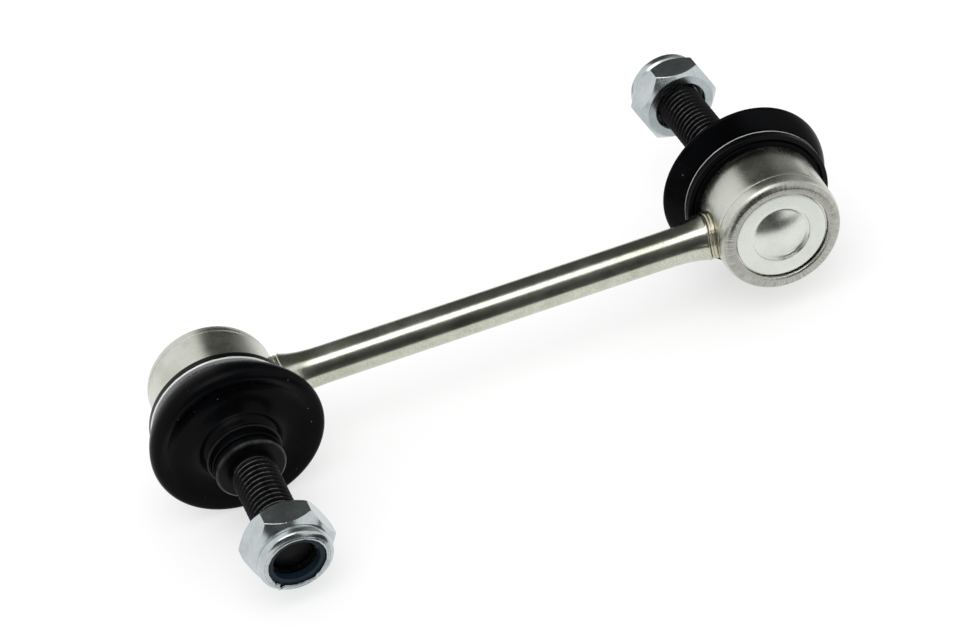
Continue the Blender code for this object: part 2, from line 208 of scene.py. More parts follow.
def ribbon(path: Sequence[Point], halves: Sequence[float], ends: int = 4) -> Array:
    """A closed outline of a wall: its centre line moved out to both sides by half the wall, with round ends.

    Where the line bends so sharply that a side would cross itself, the points of the loop are left out.

    Args:
        path: The centre line.
        halves: Half the wall's thickness at each point.
        ends: Steps in each rounded end.

    Returns:
        The outline's points, one row each.
    """
    line = np.array(path, float)
    half = np.array(halves, float)[:, None]
    along = np.gradient(line, axis=0)
    along /= np.linalg.norm(along, axis=1)[:, None]
    across = np.stack([-along[:, 1], along[:, 0]], axis=1)
    turn = np.linspace(0.0, math.pi, ends + 2)[1:-1, None]
    tip = line[-1] + 0.5 * half[-1] * np.sin(turn) * along[-1] + half[-1] * np.cos(turn) * across[-1]
    foot = line[0] - 0.5 * half[0] * np.sin(turn) * along[0] - half[0] * np.cos(turn) * across[0]
    start, step = line[None, :-1], np.diff(line, axis=0)[None]

    def clear(side: Array, reach: Array) -> Array:
        """Keep the points of a side that are about half the wall away from the whole centre line.

        Args:
            side: The side's points.
            reach: Half the wall's thickness at each of them.

        Returns:
            The points that are kept.
        """
        offset = side[:, None] - start
        share = np.clip((offset * step).sum(axis=2) / (step * step).sum(axis=2), 0.0, 1.0)[..., None]
        gap = np.linalg.norm(offset - share * step, axis=2).min(axis=1)
        return side[gap > CLEAR_SHARE * reach[:, 0]]

    there = clear(line + half * across, half)
    back = clear((line - half * across)[::-1], half[::-1])
    return np.vstack([there, tip, back, foot])


def wave_noise(angle: Array, seed: int, waves: Waves) -> Array:
    """A smooth random value round a ring: a sum of whole-numbered cosine waves with seeded sizes and phases.

    Args:
        angle: The angles round the ring.
        seed: Seed of the random draws.
        waves: Fewest and most waves round the ring.

    Returns:
        Values of about minus one to one.
    """
    draw = np.random.default_rng(seed)
    total = np.zeros_like(angle)
    for count in range(waves[0], waves[1] + 1):
        total = total + draw.normal() * np.cos(count * angle + draw.uniform(0.0, TAU))
    return total / math.sqrt(waves[1] - waves[0] + 1)


def write_mesh(
    name: str,
    points: Array,
    faces: Array,
    sharp_deg: float,
    uv: Array | None = None,
    worn_and_highlit: Array | None = None,
) -> bpy.types.Object:
    """A mesh object from points and faces, smooth up to a given angle.

    Args:
        name: The object's name.
        points: The points, one row each.
        faces: Four point numbers a face, with -1 for the fourth where a face has three.
        sharp_deg: Edges bent by more than this stay sharp.
        uv: A texture place for each corner of each face in order.
        worn_and_highlit: How far each point shows grey metal, from 0 to 1; on the stud this is partly
            scuffing and partly painted highlight.

    Returns:
        The object, linked to the scene and standing at the origin.
    """
    mesh = bpy.data.meshes.new(name)
    sides = (faces >= 0).sum(axis=1)
    mesh.vertices.add(len(points))
    mesh.vertices.foreach_set("co", points.astype(np.float32).ravel())
    mesh.loops.add(int(sides.sum()))
    mesh.loops.foreach_set("vertex_index", faces[faces >= 0].astype(np.int32))
    mesh.polygons.add(len(faces))
    mesh.polygons.foreach_set("loop_start", np.concatenate([[0], np.cumsum(sides)[:-1]]).astype(np.int32))
    if uv is not None:
        mesh.uv_layers.new(name="along").data.foreach_set("uv", uv.astype(np.float32).ravel())
    if worn_and_highlit is not None:
        mesh.attributes.new("worn_and_highlit", "FLOAT", "POINT").data.foreach_set("value", worn_and_highlit.astype(np.float32))
    mesh.update(calc_edges=True)
    mesh.validate()
    mesh.shade_smooth()
    mesh.set_sharp_from_angle(angle=math.radians(sharp_deg))
    piece = bpy.data.objects.new(name, mesh)
    bpy.context.scene.collection.objects.link(piece)
    return piece


def ring_faces(rings: Array, facets: int, poles: bool) -> tuple[Array, Array]:
    """Faces and texture places of a turned surface.

    Across, the texture runs round the axis at the middle ring's size; upwards it runs along the outline, both
    in metres. Row after row of faces joins each ring to the next, and a fan of triangles closes each pole.

    Args:
        rings: Radius and station of each ring.
        facets: Steps round the axis.
        poles: Whether the ends close on the axis; otherwise the last ring joins the first.

    Returns:
        The faces, and a texture place for each of their corners.
    """
    count = len(rings)
    row, col = np.meshgrid(np.arange(count - 1 if poles else count), np.arange(facets), indexing="ij")
    above, beside = (row + 1) % count, (col + 1) % facets
    corners = [row * facets + col, row * facets + beside, above * facets + beside, above * facets + col]
    faces = np.stack(corners, axis=2).reshape(-1, 4)
    steps = np.linalg.norm(np.diff(np.vstack([rings, rings[:1]]), axis=0), axis=1)
    length = np.concatenate([[0.0], np.cumsum(steps)])
    step = TAU * float(np.median(rings[:, 0])) / facets
    across = np.stack([col, col + 1, col + 1, col], axis=2) * step
    along = np.stack([length[row], length[row], length[row + 1], length[row + 1]], axis=2)
    uv = np.stack([across, along], axis=3).reshape(-1, 2)
    if not poles:
        return faces, uv
    col = np.arange(facets)
    on = (col + 1) % facets
    none = np.full(facets, -1)
    base = (count - 1) * facets
    first = np.stack([on, col, np.full(facets, count * facets), none], axis=1)
    last = np.stack([base + col, base + on, np.full(facets, count * facets + 1), none], axis=1)
    across = np.array([[col + 1, col, col + 0.5], [col, col + 1, col + 0.5]]).swapaxes(1, 2)
    end = length[count - 1]
    heights = np.array([[0.0, 0.0, -rings[0, 0]], [end, end, end + rings[-1, 0]]])
    along = np.broadcast_to(heights[:, None], across.shape)
    fans = np.stack([across * step, along], axis=3).reshape(-1, 2)
    return np.vstack([faces, first, last]), np.vstack([uv, fans])


def turned_surface(
    name: str,
    outline: Array,
    place: Matrix,
    facets: int = 96,
    shape: Shape | None = None,
    bend: Callable[[Array], Array] | None = None,
    wear_and_highlight: WearAndHighlight | None = None,
    sharp_deg: float = 35.0,
) -> bpy.types.Object:
    """A closed solid of revolution.

    In the axis's frame x is the radius times the cosine of the angle, y the radius times its sine, and z the
    station. An outline that starts and ends on the axis closes in two poles, and any other one joins its own
    start.

    Args:
        name: The object's name.
        outline: Radius and station of each point, going round so that the solid lies to its left.
        place: The frame of the axis.
        facets: Steps round the axis.
        shape: Changes radius and station where the piece isn't round, given radius, station and angle.
        bend: Moves the finished points in the axis's frame.
        wear_and_highlight: How far a point shows grey metal, given the outline's radius and station and the
            angle; on the stud this is partly scuffing and partly painted highlight.
        sharp_deg: Edges bent by more than this stay sharp.

    Returns:
        The object.
    """
    poles = bool(outline[0, 0] == 0.0 and outline[-1, 0] == 0.0)
    rings = outline[1:-1] if poles else outline
    angle = np.arange(facets) * TAU / facets
    radius, turn = np.meshgrid(rings[:, 0], angle, indexing="ij")
    station = np.broadcast_to(rings[:, 1:2], radius.shape)
    worn_and_highlit = None if wear_and_highlight is None else wear_and_highlight(radius, station, turn).ravel()
    if shape is not None:
        radius, station = shape(radius, station, turn)
    points = np.stack([radius * np.cos(turn), radius * np.sin(turn), station], axis=2).reshape(-1, 3)
    if poles:
        points = np.vstack([points, [[0.0, 0.0, outline[0, 1]], [0.0, 0.0, outline[-1, 1]]]])
        worn_and_highlit = None if worn_and_highlit is None else np.append(worn_and_highlit, [0.0, 0.0])
    faces, uv = ring_faces(rings, facets, poles)
    if bend is not None:
        points = bend(points)
    points = points @ np.array(place)[:3, :3].T + np.array(place)[:3, 3]
    return write_mesh(name, points, faces, sharp_deg, uv, worn_and_highlit)


def barrel_fall(height: Array) -> Array:
    """How far a barrel's side falls back at a height: its radius less the root of radius² less height²."""
    return BARREL_RADIUS - np.sqrt(BARREL_RADIUS**2 - height**2)


def standing(basis: Array, origin: Sequence[float]) -> Matrix:
    """The frame that has the given axes, one in each column, and stands at the origin given."""
    return Matrix.Translation(origin) @ Matrix(basis.tolist()).to_4x4()


# Finishes


SHADER_INPUTS = {
    "base": "Base Color",
    "metallic": "Metallic",
    "roughness": "Roughness",
    "shine": "Specular IOR Level",
}


class Nodes:
    """A material's node tree, built with short calls."""

    def __init__(self, name: str) -> None:
        """Start a material that has a Principled shader and an output.

        Args:
            name: The material's name.
        """
        self.material = bpy.data.materials.new(name)
        self.material.use_nodes = True
        self.tree = self.material.node_tree
        self.shader = self.tree.nodes["Principled BSDF"]

    def add(self, kind: str, links: dict | None = None, **settings: str) -> bpy.types.Node:
        """Add a node.

        Args:
            kind: The node's type.
            links: Inputs by name or number, each a socket to link or a value to set.
            settings: Properties of the node.

        Returns:
            The node.
        """
        made = self.tree.nodes.new(kind)
        for key, setting in settings.items():
            setattr(made, key, setting)
        for key, value in (links or {}).items():
            if isinstance(value, Socket):
                self.tree.links.new(value, made.inputs[key])
            else:
                made.inputs[key].default_value = value
        return made

    def ramp(self, value: Socket, stops: Sequence[tuple[float, Colour]]) -> Socket:
        """Colours along a value.

        Args:
            value: The socket to read.
            stops: Place and colour of both stops.

        Returns:
            The colour socket.
        """
        made = self.add("ShaderNodeValToRGB", {0: value})
        for mark, (place, colour) in zip(made.color_ramp.elements, stops):
            mark.position = place
            mark.color = (*colour, 1.0)
        return made.outputs["Color"]

    def spread(self, value: Socket, low: float, high: float, start: float = 0.3, end: float = 0.7) -> Socket:
        """A value moved from the range of start to end to the range of low to high."""
        links = {"Value": value, "From Min": start, "From Max": end, "To Min": low, "To Max": high}
        return self.add("ShaderNodeMapRange", links).outputs["Result"]

    def noise(self, place: Socket, scale: float, detail: float = 4.0, roughness: float = 0.55) -> Socket:
        """A noise value at a place."""
        links = {"Vector": place, "Scale": scale, "Detail": detail, "Roughness": roughness}
        return self.add("ShaderNodeTexNoise", links).outputs["Fac"]

    def cells(self, place: Socket, scale: float) -> Socket:
        """The distance to the nearest of many scattered points."""
        return self.add("ShaderNodeTexVoronoi", {"Vector": place, "Scale": scale}).outputs["Distance"]

    def math(self, operation: str, first: Socket | float, second: Socket | float) -> Socket:
        """Two values combined by one step of arithmetic."""
        return self.add("ShaderNodeMath", {0: first, 1: second}, operation=operation).outputs[0]

    def mixed(self, share: Socket, first: Socket, second: Socket | Colour) -> Socket:
        """Two colours mixed by a share."""
        over = second if isinstance(second, Socket) else (*second, 1.0)
        return self.add("ShaderNodeMix", {0: share, 6: first, 7: over}, data_type="RGBA").outputs[2]

    def within(self, value: Socket, middle: float, reach: Socket) -> Socket:
        """One where a value lies no further than a reach from its middle, else nought."""
        away = self.add("ShaderNodeMath", {0: self.math("SUBTRACT", value, middle)}, operation="ABSOLUTE")
        return self.math("LESS_THAN", away.outputs[0], reach)

    def stretched(self, place: Socket, scale: Triple) -> Socket:
        """A place scaled differently along its axes."""
        return self.add("ShaderNodeMapping", {"Vector": place, "Scale": scale}).outputs["Vector"]

    def part(self, place: Socket, axis: str) -> Socket:
        """One coordinate of a place."""
        return self.add("ShaderNodeSeparateXYZ", {0: place}).outputs[axis]

    def bump(self, height: Socket, distance: float, strength: float, under: Socket | None = None) -> Socket:
        """A bump from a height.

        Args:
            height: The height to read.
            distance: How far the bump rises for a height of one.
            strength: How much of it shows.
            under: A coarser bump that it lies on, or None.

        Returns:
            The socket for the normal.
        """
        links = {"Height": height, "Distance": distance, "Strength": strength}
        if under is not None:
            links["Normal"] = under
        return self.add("ShaderNodeBump", links).outputs["Normal"]

    def link(self, socket: Socket, name: str) -> None:
        """Link a socket to one of the shader's inputs."""
        self.tree.links.new(socket, self.shader.inputs[name])

    def fix(self, **values: float | tuple[float, ...]) -> None:
        """Set inputs of the shader, named in small letters, to values that are the same all over."""
        for name, value in values.items():
            self.shader.inputs[SHADER_INPUTS[name]].default_value = value

    def show(self, shader: bpy.types.Node) -> None:
        """Let another node than the Principled shader give the surface."""
        self.tree.links.new(shader.outputs[0], self.tree.nodes["Material Output"].inputs["Surface"])


@dataclass(frozen=True)
class PlatedSteel:
    """Satin zinc plate: fine grain and pits, drawn or turned lines, faint warm stains and dark specks.

    The lines follow the piece's own map. A rolled lip, where there is one, is greyer with short lines across
    it, and it is found by the length along the piece's own outline.
    """

    name: str
    colour: Colour = (0.58, 0.59, 0.53)
    stain: Colour = (0.42, 0.43, 0.36)
    smooth: float = 0.20
    rough: float = 0.34
    cloud_scale: float = 160.0
    lines: Triple = (200.0, 9000.0, 1.0)
    line_depth: float = 0.004 * MM
    pits: float = 0.35
    pit_scale: float = 900.0
    pit_depth: float = 0.008 * MM
    grain: float = 0.5
    grain_scale: float = 2600.0
    grain_depth: float = 0.004 * MM
    speckle: float = 0.10
    speck_scale: float = 3000.0
    speck_shade: float = 0.45
    lip: Point | None = None
    lip_shades: tuple[Colour, Colour] = ((0.29, 0.29, 0.255), (0.50, 0.50, 0.455))
    lip_lines: Triple = (5200.0, 420.0, 1.0)
    lip_depth: float = 0.06 * MM
    lip_edge_scale: float = 900.0

    def material(self) -> bpy.types.Material:
        """Build the finish.

        Returns:
            The material.
        """
        nodes = Nodes(self.name)
        coordinates = nodes.add("ShaderNodeTexCoord").outputs
        place, along = coordinates["Object"], coordinates["UV"]
        cloud = nodes.noise(place, self.cloud_scale, detail=5.0, roughness=0.6)
        grain = nodes.noise(place, self.grain_scale, detail=3.0, roughness=0.7)
        drawn = nodes.noise(nodes.stretched(along, self.lines), 1.0, detail=3.0, roughness=0.6)
        pits = nodes.spread(nodes.cells(place, self.pit_scale), 0.0, 1.0, start=0.0, end=0.12)
        colour = nodes.ramp(cloud, [(0.35, self.stain), (0.62, self.colour)])
        specks = nodes.noise(place, self.speck_scale, detail=2.0, roughness=0.5)
        dark = tuple(self.speck_shade * c for c in self.stain)
        colour = nodes.mixed(nodes.spread(specks, 0.0, self.speckle, start=0.42, end=0.68), colour, dark)
        relief = nodes.bump(drawn, self.line_depth, 0.6)
        relief = nodes.bump(grain, self.grain_depth, self.grain, relief)
        relief = nodes.bump(pits, self.pit_depth, self.pits, relief)
        if self.lip is not None:
            middle, reach = (self.lip[0] + self.lip[1]) / 2, (self.lip[1] - self.lip[0]) / 2
            uneven = nodes.spread(nodes.noise(place, self.lip_edge_scale), 0.92, 1.04)
            on_lip = nodes.within(nodes.part(along, "Y"), middle, nodes.math("MULTIPLY", uneven, reach))
            ridges = nodes.noise(nodes.stretched(along, self.lip_lines), 1.0, detail=2.0, roughness=0.5)
            shade = nodes.ramp(ridges, [(0.30, self.lip_shades[0]), (0.66, self.lip_shades[1])])
            colour = nodes.mixed(on_lip, colour, shade)
            relief = nodes.bump(nodes.math("MULTIPLY", ridges, on_lip), self.lip_depth, 0.8, relief)
        nodes.link(colour, "Base Color")
        nodes.link(nodes.spread(cloud, self.smooth, self.rough), "Roughness")
        nodes.link(relief, "Normal")
        nodes.fix(metallic=1.0)
        return nodes.material


@dataclass(frozen=True)
class BlackSteel:
    """Oiled black phosphate: near black with fine grain, and grey metal where the piece says so, which on the
    stud is partly scuffing and partly painted highlight.
    """

    name: str
    colour: Colour = (0.0010, 0.0011, 0.0013)
    cloudy: Colour = (0.0040, 0.0042, 0.0044)
    rubbed_and_highlit: Colour = (0.20, 0.205, 0.21)
    smooth: float = 0.26
    rough: float = 0.46
    shine: float = 0.10
    cloud_scale: float = 420.0
    grain_scale: float = 4200.0
    grain_depth: float = 0.006 * MM

    def material(self) -> bpy.types.Material:
        """Build the finish.

        Returns:
            The material.
        """
        nodes = Nodes(self.name)
        place = nodes.add("ShaderNodeTexCoord").outputs["Object"]
        cloud = nodes.noise(place, self.cloud_scale, detail=5.0, roughness=0.65)
        grain = nodes.noise(place, self.grain_scale, detail=2.0, roughness=0.6)
        # Grey metal where the attribute says, partly scuffing and partly a painted highlight on the stud's
        # thread and bevel.
        worn_and_highlit = nodes.add("ShaderNodeAttribute", attribute_name="worn_and_highlit").outputs["Fac"]
        worn_and_highlit = nodes.math("MULTIPLY", worn_and_highlit, nodes.spread(cloud, 0.25, 1.0, start=0.38, end=0.6))
        base = nodes.ramp(cloud, [(0.4, self.colour), (0.72, self.cloudy)])
        nodes.link(nodes.mixed(worn_and_highlit, base, self.rubbed_and_highlit), "Base Color")
        nodes.link(worn_and_highlit, "Metallic")
        nodes.link(nodes.spread(grain, self.smooth, self.rough), "Roughness")
        nodes.link(nodes.bump(grain, self.grain_depth, 0.5), "Normal")
        nodes.fix(shine=self.shine)
        return nodes.material


@dataclass(frozen=True)
class EdgedSteel:
    """Black coated strip whose cut edge is uncoated metal and also painted bright as the edge's highlight,
    found by the length along the piece's own outline.
    """

    name: str
    edge: float
    reach: float
    black: Colour = (0.0016, 0.0018, 0.0020)
    bright: Colour = (0.72, 0.74, 0.73)
    bare_and_highlit_metal: float = 0.45
    rough: float = 0.34
    shine: float = 0.12
    edge_scale: float = 500.0

    def material(self) -> bpy.types.Material:
        """Build the finish.

        Returns:
            The material.
        """
        nodes = Nodes(self.name)
        coordinates = nodes.add("ShaderNodeTexCoord").outputs
        ragged = nodes.spread(nodes.noise(coordinates["Object"], self.edge_scale), 0.9, 1.05)
        along = nodes.part(coordinates["UV"], "Y")
        # The cut edge's pale colour is partly uncoated metal and partly a painted highlight.
        bare_and_highlit = nodes.within(along, self.edge, nodes.math("MULTIPLY", ragged, self.reach))
        nodes.link(nodes.ramp(bare_and_highlit, [(0.0, self.black), (1.0, self.bright)]), "Base Color")
        nodes.link(nodes.spread(bare_and_highlit, 0.0, self.bare_and_highlit_metal), "Metallic")
        nodes.fix(roughness=self.rough, shine=self.shine)
        return nodes.material


@dataclass(frozen=True)
class Rubber:
    """Moulded black rubber: a soft sheen, a faint bloom, and small pale specks of dust."""

    name: str
    colour: Colour = (0.0008, 0.0009, 0.0012)
    bloom: Colour = (0.0020, 0.0022, 0.0028)
    dust: Colour = (0.10, 0.11, 0.12)
    smooth: float = 0.22
    rough: float = 0.31
    shine: float = 0.05
    cloud_scale: float = 130.0
    dust_scale: float = 420.0
    patch_scale: float = 210.0
    grain_scale: float = 3000.0
    grain_depth: float = 0.006 * MM

    def material(self) -> bpy.types.Material:
        """Build the finish.

        Returns:
            The material.
        """
        nodes = Nodes(self.name)
        place = nodes.add("ShaderNodeTexCoord").outputs["Object"]
        cloud = nodes.noise(place, self.cloud_scale, detail=4.0, roughness=0.6)
        grain = nodes.noise(place, self.grain_scale, detail=3.0, roughness=0.6)
        spots = nodes.spread(nodes.cells(place, self.dust_scale), 1.0, 0.0, start=0.04, end=0.09)
        patches = nodes.noise(place, self.patch_scale, detail=2.0)
        patches = nodes.spread(patches, 0.0, 1.0, start=0.56, end=0.62)
        base = nodes.ramp(cloud, [(0.35, self.colour), (0.68, self.bloom)])
        nodes.link(nodes.mixed(nodes.math("MULTIPLY", spots, patches), base, self.dust), "Base Color")
        nodes.link(nodes.spread(cloud, self.smooth, self.rough), "Roughness")
        nodes.link(nodes.bump(grain, self.grain_depth, 0.4), "Normal")
        nodes.fix(shine=self.shine)
        return nodes.material


@dataclass(frozen=True)
class Plastic:
    """Moulded plastic with a fine grain."""

    name: str
    colour: Colour
    smooth: float
    rough: float
    shine: float = 0.5
    shade: float = 0.8
    grain_scale: float = 600.0
    grain_depth: float = 0.01 * MM

    def material(self) -> bpy.types.Material:
        """Build the finish.

        Returns:
            The material.
        """
        nodes = Nodes(self.name)
        place = nodes.add("ShaderNodeTexCoord").outputs["Object"]
        grain = nodes.noise(place, self.grain_scale, detail=3.0)
        darker = tuple(self.shade * c for c in self.colour)
        nodes.link(nodes.ramp(grain, [(0.35, darker), (0.65, self.colour)]), "Base Color")
        nodes.link(nodes.spread(grain, self.smooth, self.rough), "Roughness")
        nodes.link(nodes.bump(grain, self.grain_depth, 0.3), "Normal")
        nodes.fix(shine=self.shine)
        return nodes.material


@dataclass(frozen=True)
class Finishes:
    """All the finishes that the link wears."""

    rod: PlatedSteel = PlatedSteel(
        "rod_plate",
        colour=(0.63, 0.64, 0.55),
        stain=(0.53, 0.54, 0.45),
        smooth=0.19,
        rough=0.25,
        lines=(2500.0, 60.0, 1.0),
        speckle=0.45,
    )
    barrel: PlatedSteel = PlatedSteel(
        "barrel_plate",
        colour=(0.64, 0.65, 0.59),
        stain=(0.50, 0.51, 0.44),
        lines=(60.0, 5000.0, 1.0),
        lip=(14.2 * MM, 17.2 * MM),
    )
    weld: PlatedSteel = PlatedSteel(
        "weld_plate", colour=(0.66, 0.62, 0.50), stain=(0.48, 0.44, 0.34), smooth=0.22, rough=0.34
    )
    cover: PlatedSteel = PlatedSteel(
        "cover_plate_zinc", colour=(0.74, 0.77, 0.72), stain=(0.66, 0.68, 0.62), smooth=0.20, rough=0.30
    )
    nut: PlatedSteel = PlatedSteel(
        "nut_zinc",
        colour=(0.56, 0.61, 0.62),
        stain=(0.43, 0.47, 0.48),
        smooth=0.17,
        rough=0.27,
        pits=0.05,
        grain=0.12,
        speckle=0.12,
    )
    wire: BlackSteel = BlackSteel("wire_steel", shine=0.2)
    stud: BlackSteel = BlackSteel("stud_phosphate")
    boot: Rubber = Rubber("boot_rubber")
    seat: Plastic = Plastic("seat_acetal", (0.78, 0.77, 0.72), smooth=0.37, rough=0.47)
    insert: Plastic = Plastic("insert_nylon", (0.0095, 0.0185, 0.028), smooth=0.33, rough=0.43, shine=0.12)


# The link's pieces


@dataclass
class JointAxes:
    """The frames of one ball joint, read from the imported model's joints."""

    side: Side
    centre: Array = field(init=False)
    housing: Matrix = field(init=False)
    stud: Matrix = field(init=False)
    lean_axis: Array = field(init=False)
    lean_angle: float = field(init=False)

    def __post_init__(self) -> None:
        """Read the joints and build the housing's and the stud's frames."""
        joints = {joint["name"]: joint for joint in frame["record"]["behaviour"]["joints"]}
        self.centre = np.array(joints[self.named("swing_direction")]["pos_m"], float)
        forward = np.array(joints[self.named("swing_direction")]["axis"], float)
        lean_world = np.array(joints[self.named("swing")]["axis"], float)
        stud_forward = np.array(joints[self.named("stud_spin")]["axis"], float)
        up = np.array([0.0, 0.0, 1.0])
        basis = np.stack([np.cross(up, forward), up, forward], axis=1)
        self.housing = standing(basis, self.centre)
        self.lean_axis = lean_world @ basis
        self.lean_angle = math.acos(float(np.clip(forward @ stud_forward, -1.0, 1.0)))
        self.stud = self.housing @ Matrix.Rotation(self.lean_angle, 4, self.lean_axis.tolist())

    def named(self, part: str) -> str:
        """Name of one of this end's pieces, bodies, nodes or joints."""
        return f"{self.side.value}_{part}"

    def point(self, station: float) -> Triple:
        """A point on the housing's axis in the row frame."""
        return tuple(self.centre + np.array(self.housing.col[2][:3]) * station)


def dress(piece: bpy.types.Object, node: str, material: bpy.types.Material) -> None:
    """Give a piece its finish and let it stand for its node.

    Args:
        piece: The object.
        node: The node that it replaces.
        material: Its finish.
    """
    piece.data.materials.append(material)
    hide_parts(node)
    log.info("%s: %d faces", piece.name, len(piece.data.polygons))


def settle(piece: bpy.types.Object, body: str, node: str, material: bpy.types.Material) -> None:
    """Hang a piece on the body that it moves with, and dress it."""
    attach(piece, body)
    dress(piece, node, material)


@dataclass
class Rod:
    """The round rod, thickened towards the barrels that it is welded to."""

    half: float = 46.6 * MM
    radius: float = 4.0 * MM
    end_radius: float = 5.2 * MM
    end_rounding: float = 0.4 * MM
    flare: float = 10.0 * MM
    sheared: float = 4.0 * MM
    facets: int = 128

    def build(self, finishes: Finishes) -> None:
        """Build the rod: a turned surface whose ends are sheared to follow the barrels.

        Near an end the bar grows longer by the barrel's own fall, faded in along the sheared length.

        Args:
            finishes: The link's finishes.
        """
        half = self.half
        upper = bezier(
            [
                (self.radius, half - self.flare),
                (self.radius, half - 0.45 * self.flare),
                (0.75 * self.radius + 0.25 * self.end_radius, half - 0.25 * self.flare),
                (self.end_radius, half - self.end_rounding),
            ],
            24,
        )
        inset = (self.end_radius - self.end_rounding, half - self.end_rounding)
        upper += arc(inset, self.end_rounding, 15, 90, 5) + [(0.0, half)]
        lower = [(r, -s) for r, s in upper[::-1]]
        outline = refine(np.array(lower + upper), 2.0 * MM, False)

        def follow(radius: Array, station: Array, turn: Array) -> tuple[Array, Array]:
            """Shear the ends to the barrels.

            Args:
                radius: Radius of each point.
                station: Station of each point.
                turn: Angle of each point.

            Returns:
                The radius and the new station.
            """
            share = np.clip((np.abs(station) - half) / self.sheared + 1.0, 0.0, 1.0)
            return radius, station + np.sign(station) * barrel_fall(radius * np.sin(turn)) * share

        along_x = Matrix(((0, 0, 1), (1, 0, 0), (0, 1, 0))).to_4x4()
        rod = turned_surface("rod", outline, along_x, self.facets, follow)
        settle(rod, "link", "link_rod", finishes.rod.material())


@dataclass
class WeldBead:
    """The thin disc of metal squeezed out where rod and barrel were pressed together."""

    axes: JointAxes
    seeds: tuple[int, int]
    radius: float = 5.25 * MM
    height: float = 1.28 * MM
    clearance: float = 0.05 * MM
    valley: float = 0.2 * MM
    coarse_waves: Waves = (2, 9)
    coarse_height: float = 0.07 * MM
    fine_waves: Waves = (12, 40)
    fine_height: float = 0.03 * MM
    facets: int = 144

    def build(self, material: bpy.types.Material) -> None:
        """Build the disc: two curled crests with a wavy edge, sheared to follow the barrel.

        Args:
            material: The disc's finish.
        """
        base = BARREL_RADIUS + self.clearance
        tall = self.height
        corners = [
            (0.0, base, 0.0),
            (self.radius - 0.1 * MM, base, 0.08 * MM),
            (self.radius, base + 0.22 * tall, 0.1 * MM),
            (self.radius - self.valley, base + 0.5 * tall, 0.05 * MM),
            (self.radius - 0.02 * MM, base + 0.75 * tall, 0.1 * MM),
            (self.radius - self.valley, base + tall, 0.08 * MM),
            (0.0, base + tall, 0.0),
        ]
        outline = refine(fillet(corners, False, 4), 0.3 * MM, False)

        def curl(radius: Array, station: Array, turn: Array) -> tuple[Array, Array]:
            """Waver the crests and follow the barrel.

            Args:
                radius: Radius of each point.
                station: Station of each point.
                turn: Angle of each point.

            Returns:
                The new radius and station.
            """
            proud = np.clip((radius - 0.8 * self.radius) / (0.2 * self.radius), 0.0, 1.0)
            ragged = wave_noise(turn, self.seeds[0], self.coarse_waves) * self.coarse_height
            ragged = ragged + wave_noise(turn, self.seeds[1], self.fine_waves) * self.fine_height
            radius = radius + proud * np.minimum(ragged, 0.0)
            return radius, station - barrel_fall(radius * np.sin(turn))

        along_rod = self.axes.housing @ Matrix(((0, 0, 1), (0, 1, 0), (-1, 0, 0))).to_4x4()
        ring = turned_surface(self.axes.named("weld_rings"), outline, along_rod, self.facets, curl)
        settle(ring, "link", self.axes.named("weld_bead"), material)


